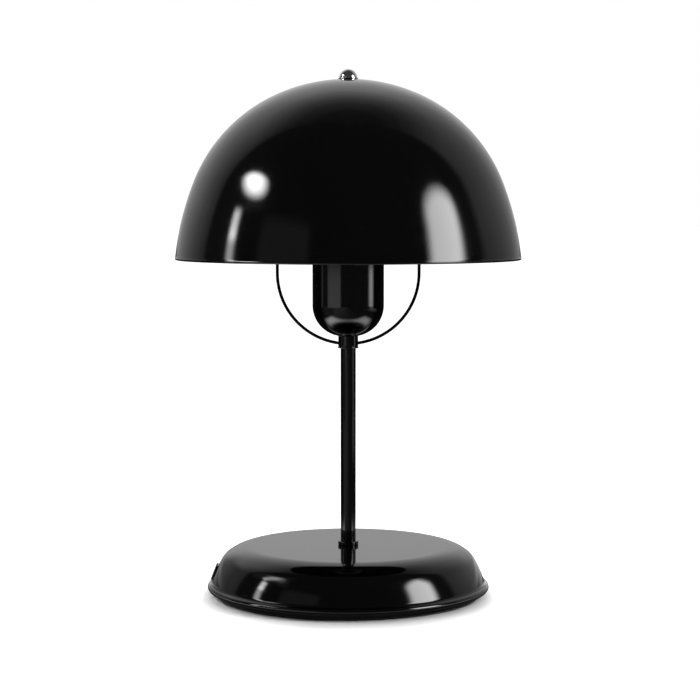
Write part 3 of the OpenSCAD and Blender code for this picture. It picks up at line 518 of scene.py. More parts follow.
finialWasher = lathe("finialWasher", outline, finial["around"], [chromePlate])
settle(finialWasher, "finial_lift", "finial_washer")

stud = {"r": 3 * mm, "flangeT": 2.6 * mm, "edge": 0.4 * mm, "tip": 0.4 * mm, "pitch": 1 * mm,
        "depth": 0.5 * mm, "step": 0.1 * mm, "slack": 0.01 * mm, "around": 64}
low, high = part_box("finial_stud")
threadFoot = low.z + stud["flangeT"]
threadSteps = math.ceil((high.z - threadFoot) / stud["step"])
flange = roundedLine([(high.x, low.z, 0), (high.x, threadFoot, stud["edge"]), (stud["r"], threadFoot, 0)],
                     closed=False)
outline = [(0, low.z)] + flange[:-1] + evenLine(stud["r"], threadFoot, high.z - stud["tip"], threadSteps)
outline += [(stud["r"] - stud["depth"], high.z), (0, high.z)]


def studThread(radius, angle, height):
    if radius > stud["r"] + stud["slack"] or height <= threadFoot + stud["slack"]:
        return radius
    phase = (height - threadFoot) / stud["pitch"] - angle / (2 * math.pi)
    return radius - stud["depth"] * abs(2 * (phase % 1.0) - 1)


finialStud = lathe("finialStud", outline, stud["around"], [zincSteel], closed=False, wobble=studThread)
settle(finialStud, "stand", "finial_stud")

softWasher = {"gap": 0.1 * mm, "edge": 0.25 * mm, "around": 96}
outline = ringLine(*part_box("shade_washer"), stud["r"] + softWasher["gap"], softWasher["edge"])
shadeWasher = lathe("shadeWasher", outline, softWasher["around"], [blackRubber])
settle(shadeWasher, "stand", "shade_washer")
print("stage: shade and finial made")

# Harp: one loop of round wire whose ends sit in the neck collar
harp = {"wireR": 1.15 * mm, "endR": 5.35 * mm, "seat": 1.7 * mm, "around": 24, "stepDeg": 2.0}
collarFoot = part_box("neck_collar")[0].z
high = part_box("harp_wire")[1]
loopR = high.x - harp["wireR"]
upMid = high.z - harp["wireR"] - loopR
lowMid = collarFoot + harp["seat"] + loopR
startDeg = math.degrees(math.asin(harp["endR"] / loopR))
right = arcLine((0, lowMid), loopR, 180 - startDeg, 90, harp["stepDeg"])
left = [(-x, z) for x, z in reversed(right)]
path = right + arcLine((0, upMid), loopR, 90, -90, harp["stepDeg"]) + left
vertices, faces = [], []
for index, (x, z) in enumerate(path):
    before, after = path[max(index - 1, 0)], path[min(index + 1, len(path) - 1)]
    ahead = Vector((after[0] - before[0], after[1] - before[1])).normalized()
    for step in range(harp["around"]):
        angle = 2 * math.pi * step / harp["around"]
        across = harp["wireR"] * math.cos(angle)
        vertices.append((x + ahead.y * across, harp["wireR"] * math.sin(angle), z - ahead.x * across))
for index in range(len(path) - 1):
    here, there = index * harp["around"], (index + 1) * harp["around"]
    for step in range(harp["around"]):
        after = (step + 1) % harp["around"]
        faces.append((here + step, here + after, there + after, there + step))
faces.append(tuple(range(harp["around"])))
faces.append(tuple(range(len(vertices) - harp["around"], len(vertices))))
settle(makePiece("harpWire", vertices, faces, [wireEnamel]), "stand", "harp_wire")

# Cup round the lampholder
cup = {"floor": 7.1 * mm, "cornerR": 22.5 * mm, "wall": 0.9 * mm, "holeR": 5.25 * mm, "stepDeg": 1.5,
       "lipSteps": 12, "around": 224}
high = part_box("holder_cup")[1]
cupR = high.x
cornerMid = (cupR - cup["cornerR"], collarFoot + cup["floor"] + cup["cornerR"])


def cupLine(inset):
    radius = cup["cornerR"] - inset
    holeDeg = math.degrees(math.asin((cup["holeR"] - cornerMid[0]) / radius))
    return arcLine(cornerMid, radius, 180 - holeDeg, 90, cup["stepDeg"])


lipR = cup["wall"] / 2
lip = arcLine((cupR - lipR, high.z - lipR), lipR, 90, -90, 180 / cup["lipSteps"])
wallIn, wallFoot = cupR - cup["wall"], cornerMid[1] + shaping["holdMost"]
wallTop = lip[0][1] - shaping["holdMost"]
outline = (cupLine(0) + [(cupR, wallFoot), (cupR, wallTop)] + lip + [(wallIn, wallTop), (wallIn, wallFoot)]
           + cupLine(cup["wall"])[::-1])
settle(lathe("holderCup", outline, cup["around"], [blackLacquer]), "stand", "holder_cup")

# Neck collar and the round nut under it
neck = {"boreR": 5.05 * mm, "edge": 0.35 * mm, "topEdge": 0.1 * mm, "dish": 0.3 * mm, "nutEdge": 0.6 * mm,
        "around": 128}
low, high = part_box("neck_collar")
outline = roundedLine([
    (neck["boreR"], low.z, 0), (high.x, low.z, neck["edge"]), (high.x, high.z, neck["topEdge"]),
    (neck["boreR"], high.z - neck["dish"], 0)])
settle(lathe("neckCollar", outline, neck["around"], [blackLacquer]), "stand", "neck_collar")
outline = ringLine(*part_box("neck_locknut"), neck["boreR"], neck["nutEdge"])
settle(lathe("neckNut", outline, neck["around"], [blackLacquer]), "stand", "neck_locknut")

# Stem and its ring on the base
stem = {"boreR": 3.8 * mm, "threadR": 5 * mm, "edge": 0.25 * mm, "ringEdge": 0.6 * mm, "around": 128}
low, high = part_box("stem_tube")
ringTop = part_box("stem_ring")[1].z
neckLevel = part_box("neck_locknut")[0].z
outline = roundedLine([
    (stem["boreR"], low.z, 0), (stem["threadR"], low.z, 0), (stem["threadR"], ringTop, 0),
    (high.x, ringTop, stem["edge"]), (high.x, neckLevel, stem["edge"]), (stem["threadR"], neckLevel, 0),
    (stem["threadR"], high.z, 0), (stem["boreR"], high.z, 0)])
settle(lathe("stemTube", outline, stem["around"], [blackLacquer]), "stand", "stem_tube")
outline = ringLine(*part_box("stem_ring"), neck["boreR"], stem["ringEdge"])
settle(lathe("stemRing", outline, stem["around"], [blackLacquer]), "stand", "stem_ring")
print("stage: harp, cup and stem made")

# Base: spun shell of three arcs with a rolled edge, and a fillet above that edge
base = {"flatR": 70.7 * mm, "crownDeg": 36.0, "shoulderR": 14.2 * mm, "shoulderDeg": 58.5, "footDeg": 78.0,
        "wall": 1 * mm, "beadR": 2.5 * mm, "filletR": 3.5 * mm, "holeR": 5.25 * mm, "flatSteps": 24,
        "stepDeg": 1.0, "sideStepDeg": 0.5, "filletStepDeg": 4.0, "beadSteps": 48, "around": 320}
low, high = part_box("base_shell")
beadMid = Vector((high.x - base["beadR"], low.z + base["beadR"]))
crownTurn = math.radians(base["crownDeg"])
shoulderTurn = math.radians(base["shoulderDeg"])
footTurn = math.radians(base["footDeg"])
baseCrownR, baseSideR = solvePair(
    math.sin(crownTurn), math.sin(footTurn) - math.sin(shoulderTurn),
    beadMid.x - base["flatR"] - base["shoulderR"] * (math.sin(shoulderTurn) - math.sin(crownTurn)),
    1 - math.cos(crownTurn), math.cos(shoulderTurn) - math.cos(footTurn),
    high.z - beadMid.y - base["shoulderR"] * (math.cos(crownTurn) - math.cos(shoulderTurn)))
baseTop = high.z
baseCrownMid = Vector((base["flatR"], baseTop - baseCrownR))
baseShoulderMid = baseCrownMid + (baseCrownR - base["shoulderR"]) * leaning(crownTurn)
baseSideMid = baseShoulderMid + (base["shoulderR"] - baseSideR) * leaning(shoulderTurn)
filletMid = crossing(baseSideMid, baseSideR + base["filletR"], beadMid, base["beadR"] + base["filletR"])
filletDeg = math.degrees(math.atan2(filletMid.x - baseSideMid.x, filletMid.y - baseSideMid.y))
beadDeg = math.degrees(math.atan2(beadMid.x - filletMid.x, beadMid.y - filletMid.y)) % 360


def baseLine(inset, endDeg):
    steps = base["flatSteps"]
    flat = [(base["holeR"] + (base["flatR"] - base["holeR"]) * step / steps, baseTop - inset)
            for step in range(steps)]
    crown = arcLine(baseCrownMid, baseCrownR - inset, 0, base["crownDeg"], base["stepDeg"])
    shoulder = arcLine(
        baseShoulderMid, base["shoulderR"] - inset, base["crownDeg"], base["shoulderDeg"], base["stepDeg"])
    side = arcLine(baseSideMid, baseSideR - inset, base["shoulderDeg"], endDeg, base["sideStepDeg"])
    return flat + crown + shoulder[1:] + side[1:]


fillet = arcLine(filletMid, base["filletR"], filletDeg + 180, beadDeg, base["filletStepDeg"])
outer, roll, inner = beadedSheet(
    baseLine(0, filletDeg) + fillet[1:], baseLine(base["wall"], base["footDeg"]), beadMid, base["beadR"],
    base["beadSteps"])
baseShell = lathe("baseShell", outer + roll + inner, base["around"], [baseLacquer])

# Cord bush: a flanged bush square to the base's left side, and its hole
bush = {"z": 16.5 * mm, "flangeR": 6.5 * mm, "flangeT": 1.3 * mm, "neckR": 4.5 * mm, "boreR": 3.1 * mm,
        "gap": 0.35 * mm, "step": 0.6 * mm, "backEdge": 0.3 * mm, "seatEdge": 0.1 * mm, "mouth": 0.5 * mm,
        "roundShare": 0.9, "holeGap": 0.05 * mm, "holeReach": 4 * mm, "around": 96}
bushTurn = math.asin((bush["z"] - baseSideMid.y) / baseSideR)
bushPlace = Matrix.Translation((-(baseSideMid.x + baseSideR * math.cos(bushTurn)), 0, bush["z"]))
bushPlace = bushPlace @ Matrix.Rotation(bushTurn - math.pi / 2, 4, "Y")
holeR, reach = bush["neckR"] + bush["holeGap"], bush["holeReach"]
drill = lathe("bushDrill", [(0, -reach), (holeR, -reach), (holeR, reach), (0, reach)], bush["around"],
              [blackRubber], closed=False)
drill.data.transform(bushPlace)
cutter = baseShell.modifiers.new("bushHole", "BOOLEAN")
cutter.object = drill
cutter.solver = "EXACT"
bpy.context.view_layer.update()
opened = bpy.data.meshes.new_from_object(baseShell.evaluated_get(bpy.context.evaluated_depsgraph_get()))
baseShell.modifiers.clear()
baseShell.data = opened
opened.materials.clear()
opened.materials.append(baseLacquer)
smoothShade(opened)
bpy.data.objects.remove(drill)
settle(baseShell, "stand", "base_shell")

seat = -base["wall"] - bush["gap"]
back, backR = seat - bush["flangeT"], bush["flangeR"] - bush["step"]
outline = roundedLine([
    (bush["boreR"], back, bush["backEdge"]), (backR, back, bush["backEdge"]), (backR, seat, bush["seatEdge"]),
    (bush["neckR"], seat, 0), (bush["neckR"], 0, 0), (bush["flangeR"], 0, bush["seatEdge"]),
    (bush["flangeR"], bush["flangeT"], bush["roundShare"] * bush["flangeT"]),
    (bush["boreR"], bush["flangeT"], bush["mouth"])])
cordBush = lathe("cordBush", outline, bush["around"], [blackRubber])
cordBush.data.transform(bushPlace)
settle(cordBush, "stand", "cord_bush")

# Bottom plate with a raised lip, and the felt pad under it
plate = {"lip": 2 * mm, "rim": 8 * mm, "edge": 1.2 * mm, "lipEdge": 0.3 * mm, "insideEdge": 0.5 * mm,
         "around": 256}
low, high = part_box("base_plate")
rimIn, lipIn, plateTop = high.x - plate["rim"], high.x - plate["lip"], low.z + plate["lip"]
outline = discLine([
    (rimIn, low.z, 0), (high.x, low.z, plate["edge"]), (high.x, high.z, plate["lipEdge"]),
    (lipIn, high.z, plate["lipEdge"]), (lipIn, plateTop, plate["insideEdge"]), (rimIn, plateTop, 0)])
basePlate = lathe("basePlate", outline, plate["around"], [blackLacquer], closed=False)
settle(basePlate, "stand", "base_plate")
pad = {"rim": 5 * mm, "edge": 0.3 * mm, "around": 256}
low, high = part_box("felt_pad")
outline = discLine([
    (high.x - pad["rim"], low.z, 0), (high.x, low.z, pad["edge"]), (high.x, high.z, pad["edge"]),
    (high.x - pad["rim"], high.z, 0)])
settle(lathe("feltPad", outline, pad["around"], [feltCloth], closed=False), "stand", "felt_pad")
print("stage: base made")

# Lampholder skirt with an inner lip over the screw shell
holder = {"wall": 2.2 * mm, "edge": 1 * mm, "shellGap": 1.5 * mm, "lipGap": 0.5 * mm, "lipRise": 1 * mm,
          "lipEdge": 0.6 * mm, "lipFoot": 0.2 * mm, "around": 160}
low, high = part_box("holder_skirt")
shellLow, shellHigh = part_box("screw_shell")
shellR = shellHigh.x
skirtIn, lipIn, shellIn = high.x - holder["wall"], shellR + holder["lipGap"], shellR + holder["shellGap"]
lipFoot = shellHigh.z + holder["lipRise"]
outline = roundedLine([
    (skirtIn, low.z, 0), (high.x, low.z, holder["edge"]), (high.x, high.z, holder["edge"]),
    (lipIn, high.z, holder["lipEdge"]), (lipIn, lipFoot, holder["lipFoot"]), (shellIn, lipFoot, 0),
    (shellIn, shellLow.z, 0), (skirtIn, shellLow.z, 0)])
holderSkirt = lathe("holderSkirt", outline, holder["around"], [blackPhenolic])
settle(holderSkirt, "stand", "holder_skirt")

# Screw shell and bulb cap: rounded threads of the same pitch
thread = {"pitch": 25.4 / 7 * mm, "depth": 1.15 * mm, "steps": 90}


# Dips a wall outside a radius into a rounded thread that eases in and out over one pitch
def roundThread(wallR, start, end):
    def dipped(radius, angle, height):
        if radius <= wallR:
            return radius
        easeIn = min(max((height - start) / thread["pitch"], 0), 1)
        easeOut = min(max((end - height) / thread["pitch"], 0), 1)
        phase = height / thread["pitch"] - angle / (2 * math.pi)
        return radius - thread["depth"] * easeIn * easeOut * 0.5 * (1 - math.cos(2 * math.pi * phase))

    return dipped


shell = {"wall": 0.5 * mm, "holeR": 6.2 * mm, "threadWall": 2 * mm, "runIn": 3 * mm, "runOut": 0.5 * mm}
shellFloor = shellLow.z + shell["wall"]
outline = [(shell["holeR"], shellLow.z)] + evenLine(shellR, shellLow.z, shellHigh.z, thread["steps"])
outline += evenLine(shellR - shell["wall"], shellHigh.z, shellFloor, thread["steps"])
outline += [(shell["holeR"], shellFloor)]
shellThread = roundThread(
    shellR - shell["threadWall"], shellLow.z + shell["runIn"], shellHigh.z - shell["runOut"])
screwShell = lathe("screwShell", outline, holder["around"], [nickelSheet], wobble=shellThread)
settle(screwShell, "stand", "screw_shell")

cap = {"flatR": 8 * mm, "edge": 1.6 * mm, "foot": 2 * mm, "threadWall": 0.2 * mm, "runIn": 1 * mm,
       "runOut": 2 * mm}
low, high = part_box("bulb_cap")
capFoot = low.z + cap["foot"]
foot = roundedLine([(cap["flatR"], low.z, 0), (high.x, low.z, cap["edge"]), (high.x, capFoot, 0)],
                   closed=False)
outline = [(0, low.z)] + foot + evenLine(high.x, capFoot, high.z, thread["steps"])[1:] + [(0, high.z)]
capThread = roundThread(high.x - cap["threadWall"], low.z + cap["runIn"], high.z - cap["runOut"])
bulbCap = lathe("bulbCap", outline, holder["around"], [nickelSheet], closed=False, wobble=capThread)
settle(bulbCap, "bulb", "bulb_cap")

# Bulb: contact, insulator, flared body and opal globe
contact = {"flatR": 1 * mm, "edge": 1.2 * mm, "around": 64}
low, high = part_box("bulb_contact")
outline = discLine([(contact["flatR"], low.z, 0), (high.x, low.z, contact["edge"]), (high.x, high.z, 0)])
bulbContact = lathe("bulbContact", outline, contact["around"], [brassTurned], closed=False)
settle(bulbContact, "bulb_tip", "bulb_contact")
insulator = {"flatR": 2 * mm, "footR": 5.6 * mm, "footEdge": 0.4 * mm, "topEdge": 0.3 * mm, "around": 96}
low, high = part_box("bulb_insulator")
outline = discLine([
    (insulator["flatR"], low.z, 0), (insulator["footR"], low.z, insulator["footEdge"]),
    (high.x, high.z, insulator["topEdge"]), (insulator["flatR"], high.z, 0)])
bulbInsulator = lathe("bulbInsulator", outline, insulator["around"], [blackGlass], closed=False)
settle(bulbInsulator, "bulb", "bulb_insulator")

bulb = {"neckR": 13.4 * mm, "seam": 0.35 * mm, "seamIn": 4 * mm, "flareStepDeg": 1.0, "wall": 1.5 * mm,
        "seamDeg": 0.5, "rimIn": 0.4 * mm, "globeStepDeg": 2.0, "innerStepDeg": 4.0, "around": 160}
low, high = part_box("bulb_body")
flare, flareHeight = high.x - bulb["neckR"], high.z - low.z
flareR = (flareHeight ** 2 + flare ** 2) / (2 * flare)
flareDeg = math.degrees(math.asin(flareHeight / flareR))
flareLine = arcLine((bulb["neckR"] + flareR, low.z), flareR, -90, -90 + flareDeg, bulb["flareStepDeg"])
seamIn = high.x - bulb["seamIn"]
seam = roundedLine([flareLine[-2] + (0,), (high.x, high.z, bulb["seam"]), (seamIn, high.z, 0)], closed=False)
outline = [(0, low.z)] + flareLine[:-1] + seam[1:] + [(0, high.z)]
bulbBody = lathe("bulbBody", outline, bulb["around"], [whitePlastic], closed=False)
settle(bulbBody, "bulb", "bulb_body")
low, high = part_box("bulb_globe")
globeR = high.x
innerR = globeR - bulb["wall"]
globeMid = (0.0, high.z - globeR)
globeDrop = globeMid[1] - low.z
globeDeg, innerDeg = (90 + math.degrees(math.asin(globeDrop / radius)) for radius in (globeR, innerR))
outer = arcLine(globeMid, globeR, 0, globeDeg - bulb["seamDeg"], bulb["globeStepDeg"])
inner = arcLine(globeMid, innerR, innerDeg, 0, bulb["innerStepDeg"])
outline = [(0, high.z)] + outer[1:] + [(outer[-1][0] - bulb["rimIn"], low.z)] + inner[:-1]
outline += [(0, globeMid[1] + innerR)]
bulbGlobe = lathe("bulbGlobe", outline, bulb["around"], [opalPlastic], closed=False)
settle(bulbGlobe, "bulb", "bulb_globe")

# Inner parts that keep their CAD form
for nodeName, material in {
        "plate_screws": zincSteel, "base_weight": castIron, "base_washer": zincSteel, "base_nut": zincSteel,
        "terminal_block": glazedPorcelain, "block_clamp_screws": brassTurned,
        "block_mount_screw": zincSteel, "live_lead": brownSheath, "neutral_lead": blueSheath,
        "cup_washer": zincSteel, "cup_nut": zincSteel, "holder_cap": blackPhenolic,
        "holder_insert": glazedPorcelain, "terminal_posts": brassTurned, "terminal_screws": zincSteel,
        "centre_contact": brassTurned}.items():
    cadNodes[nodeName].data.materials.clear()
    cadNodes[nodeName].data.materials.append(material)
print("stage: lampholder and bulb made")

# Camera
cameraValues = {"place": (0.0013, -1.4445, 0.286), "tiltDown": 0.0739, "lens": 102.605, "sensor": 36.0,
                "clipStart": 0.01}
camera = bpy.data.objects.new("camera", bpy.data.cameras.new("camera"))
camera.location = cameraValues["place"]
camera.rotation_euler = (math.pi / 2 - cameraValues["tiltDown"], 0, 0)
camera.data.lens = cameraValues["lens"]
camera.data.sensor_width = cameraValues["sensor"]
camera.data.clip_start = cameraValues["clipStart"]
bpy.context.scene.collection.objects.link(camera)
bpy.context.scene.camera = camera

# Surroundings: white to the camera. In the reflections they are a dark room with a lit backdrop, whose tone
# is given by azimuth (0 is behind the lamp, 90 is on its right) and fades out upwards.
room = {"dark": 0.05,
        "tones": ((-73, 0.0), (-67, 0.22), (-58, 0.36), (-50, 0.47), (-42, 0.55), (-28, 0.63), (-12, 0.75),
                  (8, 0.75), (17, 0.65), (28, 0.5), (44, 0.38), (60, 0.33), (74, 0.29), (84, 0.0)),
        "fade": ((-1, 0.0), (1.5, 0.72), (18, 1.0), (43, 0.96), (51, 0.72), (56, 0.52), (60, 0.35),
                 (67, 0.16), (77, 0.03))}
world = bpy.data.worlds.new("room")
bpy.context.scene.world = world
world.use_nodes = True
tree = world.node_tree
tree.nodes.clear()


# A value that follows a few (angle, value) stops
def angleCurve(tree, angle, stops):
    first, last = stops[0][0], stops[-1][0]
    band = addNode(tree, "ValToRGB", {0: ramp(tree, angle, first, last, kind="LINEAR")})
    band.color_ramp.interpolation = "EASE"
    elements = band.color_ramp.elements
    while len(elements) < len(stops):
        elements.new(0.5)
    for element, (turn, value) in zip(elements, stops):
        element.position = (turn - first) / (last - first)
        element.color = grey(value)
    return band.outputs["Color"]


inDegrees = 180 / math.pi
direction = addNode(tree, "SeparateXYZ", {0: addNode(tree, "TexCoord").outputs["Generated"]}).outputs
azimuth = product(tree, calc(tree, "ARCTAN2", direction["X"], direction["Y"]), inDegrees)
elevation = product(tree, calc(tree, "ARCSINE", direction["Z"]), inDegrees)
backdrop = product(
    tree, angleCurve(tree, azimuth, room["tones"]), angleCurve(tree, elevation, room["fade"]))
strength = calc(tree, "ADD", room["dark"], backdrop)
around = addNode(tree, "Background", {"Color": grey(1.0), "Strength": strength})
white = addNode(tree, "Background", {"Color": grey(1.0), "Strength": 1.0})
seen = addNode(tree, "LightPath").outputs["Is Camera Ray"]
chosen = addNode(tree, "MixShader", {0: seen, 1: around.outputs[0], 2: white.outputs[0]})
tree.links.new(chosen.outputs[0], addNode(tree, "OutputWorld").inputs["Surface"])


# A square sheet with an empty material
def addSheet(name, half, materialName):
    mesh = bpy.data.meshes.new(name)
    corners = [(-half, -half, 0), (half, -half, 0), (half, half, 0), (-half, half, 0)]
    mesh.from_pydata(corners, [], [(0, 1, 2, 3)])
    piece = bpy.data.objects.new(name, mesh)
    bpy.context.scene.collection.objects.link(piece)
    material = bpy.data.materials.new(materialName)
    material.use_nodes = True
    material.node_tree.nodes.clear()
    mesh.materials.append(material)
    return piece, material.node_tree


def setSurface(tree, shader):
    tree.links.new(shader.outputs[0], addNode(tree, "OutputMaterial").inputs["Surface"])


# A card that faces the lamp, seen only in reflections and by the light it gives. A tilt turns its face down,
# and a roll leans its top to the left as seen from the lamp.
def placeCard(name, values):
    piece, tree = addSheet(name, 1, name)
    azimuth = math.radians(values["azimuth"])
    away = Vector((math.sin(azimuth), math.cos(azimuth), 0))
    low, high = values["z"]
    piece.location = away * values["distance"] + Vector((0, 0, (low + high) / 2))
    piece.rotation_euler = (-away).to_track_quat("Z", "Y").to_euler()
    piece.rotation_euler.rotate_axis("X", math.radians(values.get("tilt", 0.0)))
    piece.rotation_euler.rotate_axis("Z", math.radians(values.get("roll", 0.0)))
    piece.scale = (values["width"] / 2, (high - low) / 2, 1)
    piece.visible_camera = False
    parts = addNode(tree, "SeparateXYZ", {0: addNode(tree, "TexCoord").outputs["Object"]}).outputs
    return tree, parts["X"], parts["Y"]


# A glowing card: its two powers are at its left and right edge, seen from the lamp. Its edges fade over the
# shares of its half width and half height that softX gives for left and right, and softY for bottom and top.
def addCard(name, values):
    tree, across, along = placeCard(name, values)
    if "softRound" in values:
        mask = ramp(tree, lengthOf(tree, across, along), 1.0, 1.0 - values["softRound"])
    else:
        top = along
        if "arch" in values:
            rise = calc(tree, "DIVIDE", calc(tree, "SUBTRACT", along, values["arch"]), 1.0 - values["arch"])
            top = lengthOf(tree, across, calc(tree, "MAXIMUM", rise, 0.0))
        mask = product(
            tree, ramp(tree, across, -1.0, -1.0 + values["softX"][0]),
            ramp(tree, across, 1.0, 1.0 - values["softX"][1]),
            ramp(tree, along, -1.0, -1.0 + values["softY"][0]),
            ramp(tree, top, 1.0, 1.0 - values["softY"][1]))
    front = calc(tree, "SUBTRACT", 1.0, addNode(tree, "NewGeometry").outputs["Backfacing"])
    power = product(tree, mask, front, ramp(tree, across, -1.0, 1.0, *values["power"], kind="LINEAR"))
    lit = addNode(tree, "Emission", {"Color": grey(1.0), "Strength": power})
    clear = addNode(tree, "BsdfTransparent")
    setSurface(tree, addNode(tree, "AddShader", {0: lit.outputs[0], 1: clear.outputs[0]}))


# A grey flag with soft edges that lets a part of the light through
def addFlag(name, values):
    tree, across, along = placeCard(name, values)
    shut = product(tree, *(ramp(tree, calc(tree, "ABSOLUTE", part), 1.0, 1.0 - values["soft"])
                           for part in (across, along)))
    colour = mixColour(tree, shut, grey(1.0), grey(values["passes"]))
    clear = addNode(tree, "BsdfTransparent", {"Color": colour})
    glow = addNode(tree, "Emission", {"Strength": product(tree, shut, values["glow"])})
    setSurface(tree, addNode(tree, "AddShader", {0: clear.outputs[0], 1: glow.outputs[0]}))


# Lights on the right: a tall box, a strip and a dim card low under it, and a low card close behind the base
addCard("boxRight", {
    "azimuth": 113, "distance": 1.5, "z": (0.31, 1.32), "width": 0.98, "roll": 5, "power": (13.0, 9.5),
    "softX": (0.42, 0.45), "softY": (0.08, 0.6), "arch": 0.15})
addCard("stripRight", {
    "azimuth": 102, "distance": 1.5, "z": (0.11, 0.202), "width": 0.76, "power": (4.4, 4.4),
    "softX": (1.0, 1.0), "softY": (0.5, 0.4)})
addCard("spillRight", {
    "azimuth": 99, "distance": 1.5, "z": (0.0, 0.12), "width": 0.55, "power": (1.3, 1.3),
    "softX": (1.0, 1.0), "softY": (0.05, 0.6)})
addCard("lowRight", {
    "azimuth": 32, "distance": 0.17, "z": (0.0, 0.034), "width": 0.32, "power": (0.95, 0.95),
    "softX": (0.5, 1.0), "softY": (0.02, 0.6)})

# Lights on the left: a low card close behind the base, a round light, a strip in two parts, a small strip
# near the base that faces down, and a dim card low under the strip
addCard("lowLeft", {
    "azimuth": -32, "distance": 0.17, "z": (0.0, 0.034), "width": 0.32, "power": (0.45, 0.45),
    "softX": (1.0, 0.5), "softY": (0.02, 0.6)})
addCard("roundLeft", {
    "azimuth": -103, "distance": 1.5, "z": (1.0, 1.48), "width": 0.88, "power": (26.0, 26.0),
    "softRound": 0.75})
addCard("stripLeft", {
    "azimuth": -98, "distance": 1.5, "z": (0.56, 0.92), "width": 0.27, "roll": -5, "power": (10.5, 10.5),
    "softX": (0.9, 0.9), "softY": (0.6, 0.5)})
addCard("stripLeftLow", {
    "azimuth": -98.5, "distance": 1.5, "z": (0.28, 0.76), "width": 0.27, "roll": -5, "power": (5.8, 5.8),
    "softX": (0.9, 0.9), "softY": (0.2, 0.7)})
addCard("armLeft", {
    "azimuth": -122.2, "distance": 0.1741, "z": (0.089, 0.111), "width": 0.085, "tilt": 90, "roll": -28.7,
    "power": (1.0, 5.5), "softX": (0.9, 0.25), "softY": (0.7, 0.7)})
addCard("footLeft", {
    "azimuth": -88, "distance": 1.5, "z": (0.06, 0.3), "width": 0.24, "power": (0.3, 0.3),
    "softX": (0.5, 0.5), "softY": (0.3, 0.3)})

# Dim boards in front, left of the camera
addCard("boardFront", {
    "azimuth": -137, "distance": 1.6, "z": (0.02, 1.1), "width": 1.2, "power": (0.11, 0.11),
    "softX": (0.3, 0.4), "softY": (0.1, 0.45)})
addCard("boardLow", {
    "azimuth": -134, "distance": 1.2, "z": (0.05, 0.214), "width": 1.1, "power": (0.72, 0.72),
    "softX": (0.25, 0.15), "softY": (1.0, 0.35)})

# Flags near the base: they keep the round light and a corner of the box off it, and dim the backdrop on
# its left side
addFlag("flagLeft", {
    "azimuth": -115, "distance": 0.2035, "z": (0.1, 0.192), "width": 0.15, "passes": 0.06, "soft": 0.2,
    "glow": 0.13})
addFlag("flagRight", {
    "azimuth": 116, "distance": 0.198, "z": (0.088, 0.17), "width": 0.07, "roll": -25, "passes": 0.15,
    "soft": 0.8, "glow": 0.06})
addFlag("dimLeft", {
    "azimuth": -55, "distance": 0.36, "z": (-0.05, 0.24), "width": 0.42, "passes": 0.45, "soft": 0.7,
    "glow": 0.0})

# Floor: white to the camera, with the lamp's rendered shadow close to it. Round the base the lift to
# white is held back, wider in front, which paints shadow there too. In the reflections it is a painted
# reflection: dark, with a bright patch on both sides of the lamp, a glow ahead on the left, a spill of
# light towards the box and painted shade close to the lamp. A pair is where a fade starts and where it is
# full, or the strengths at both ends.
floorPaper = {"half": 20.0, "tones": (0.85, 0.87), "mottle": 40.0}
floorShade = {"startR": 0.096, "sideReach": 0.012, "frontReach": 0.026, "frontPower": 1.5, "lift": 0.85}
floorPaintedReflection = {"patch": (4.2, 3.1), "patchX": 0.25, "rear": (0.11, -0.05), "front": (-0.225, -0.11),
               "side": (0.36, 0.22), "near": (0.114, 0.195), "beside": (0.01, 0.06), "besideY": (0.15, -0.05),
               "ahead": (0.07, 0.3), "aheadX": (0.2, -0.35), "aheadY": (-0.04, -0.26),
               "aheadReach": (2.8, 1.8), "spill": 0.6, "spillMid": (1.15, -0.1, 0), "spillR": (0.55, 0.1)}
floor, tree = addSheet("floor", floorPaper["half"], "floorPaper")
place = addNode(tree, "TexCoord").outputs["Object"]
spot = addNode(tree, "SeparateXYZ", {0: place}).outputs
light = addNode(tree, "LightPath").outputs


def awayFrom(middle):
    return addNode(tree, "VectorMath", {0: place, 1: middle}, operation="DISTANCE").outputs["Value"]


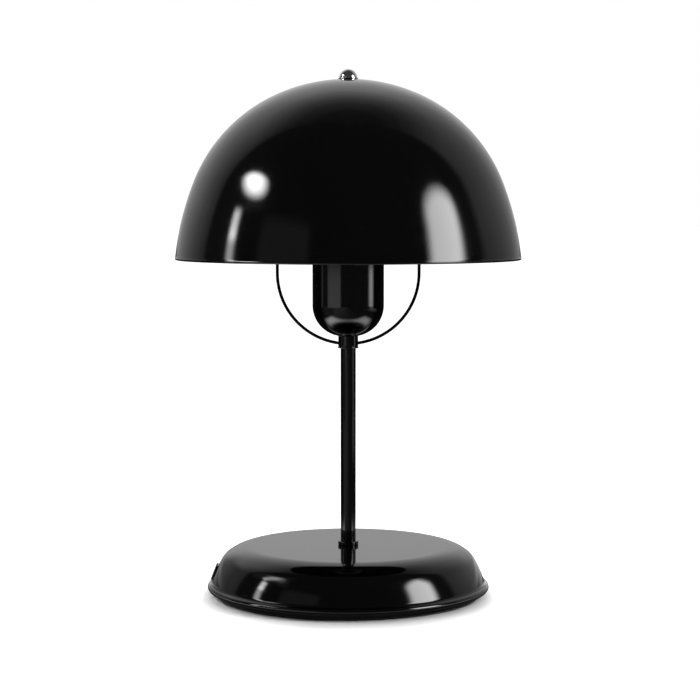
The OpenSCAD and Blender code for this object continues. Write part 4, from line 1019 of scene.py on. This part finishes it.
tones = [grey(tone) for tone in floorPaper["tones"]]
colour = mixColour(tree, noise(tree, place, floorPaper["mottle"], detail=3.0), *tones)
paper = addNode(tree, "BsdfDiffuse", {"Color": colour})
# Painted shadow: the lift grows outward from the base, reaching further in front, so the floor is painted
# darker close to the base
away = awayFrom((0, 0, 0))
toFront = calc(tree, "MAXIMUM", calc(tree, "DIVIDE", spot["Y"], product(tree, away, -1.0)), 0.0)
toFront = calc(tree, "POWER", toFront, floorShade["frontPower"])
shadeReach = calc(tree, "ADD", product(tree, toFront, floorShade["frontReach"]), floorShade["sideReach"])
outward = calc(tree, "DIVIDE", calc(tree, "SUBTRACT", away, floorShade["startR"]), shadeReach)
lift = product(tree, calc(tree, "MAXIMUM", outward, 0.0), floorShade["lift"])
lift = product(tree, calc(tree, "MINIMUM", lift, 1.0), light["Is Camera Ray"])
lifting = addNode(tree, "Emission", {"Strength": lift})
lifted = addNode(tree, "AddShader", {0: paper.outputs[0], 1: lifting.outputs[0]})

# Painted reflection: the floor glows only to glossy rays, with painted pools of light beside the lamp, a glow
# ahead on the left and a spill towards the box
reachX = floorPaintedReflection["patchX"]
patch = ramp(tree, spot["X"], -reachX, reachX, *floorPaintedReflection["patch"], kind="LINEAR")
sideways = calc(tree, "ABSOLUTE", spot["X"])
# The near fade darkens the patch close to the base: painted shade of the lamp in the reflected floor
for value, key in ((spot["Y"], "rear"), (spot["Y"], "front"), (sideways, "side"), (away, "near")):
    patch = product(tree, patch, ramp(tree, value, *floorPaintedReflection[key]))
beside = ramp(tree, spot["Y"], *floorPaintedReflection["besideY"], *floorPaintedReflection["beside"])
toLeft = product(
    tree, ramp(tree, spot["X"], *floorPaintedReflection["aheadX"]), ramp(tree, away, *floorPaintedReflection["aheadReach"]))
ahead = ramp(tree, toLeft, 0.0, 1.0, *floorPaintedReflection["ahead"], kind="LINEAR")
ahead = ramp(tree, spot["Y"], *floorPaintedReflection["aheadY"], beside, ahead)
fromSpill = awayFrom(floorPaintedReflection["spillMid"])
spill = ramp(tree, fromSpill, *floorPaintedReflection["spillR"], 0.0, floorPaintedReflection["spill"])
glow = calc(tree, "ADD", calc(tree, "ADD", patch, ahead), spill)
paintedReflection = addNode(tree, "Emission", {"Strength": glow})

seen = addNode(tree, "MixShader", {0: light["Is Glossy Ray"], 1: lifted.outputs[0], 2: paintedReflection.outputs[0]})
below = addNode(tree, "NewGeometry").outputs["Backfacing"]
clear = addNode(tree, "BsdfTransparent")
setSurface(tree, addNode(tree, "MixShader", {0: below, 1: seen.outputs[0], 2: clear.outputs[0]}))

view = bpy.context.scene.view_settings
view.view_transform = "Standard"
print("stage: camera, lights and floor made")
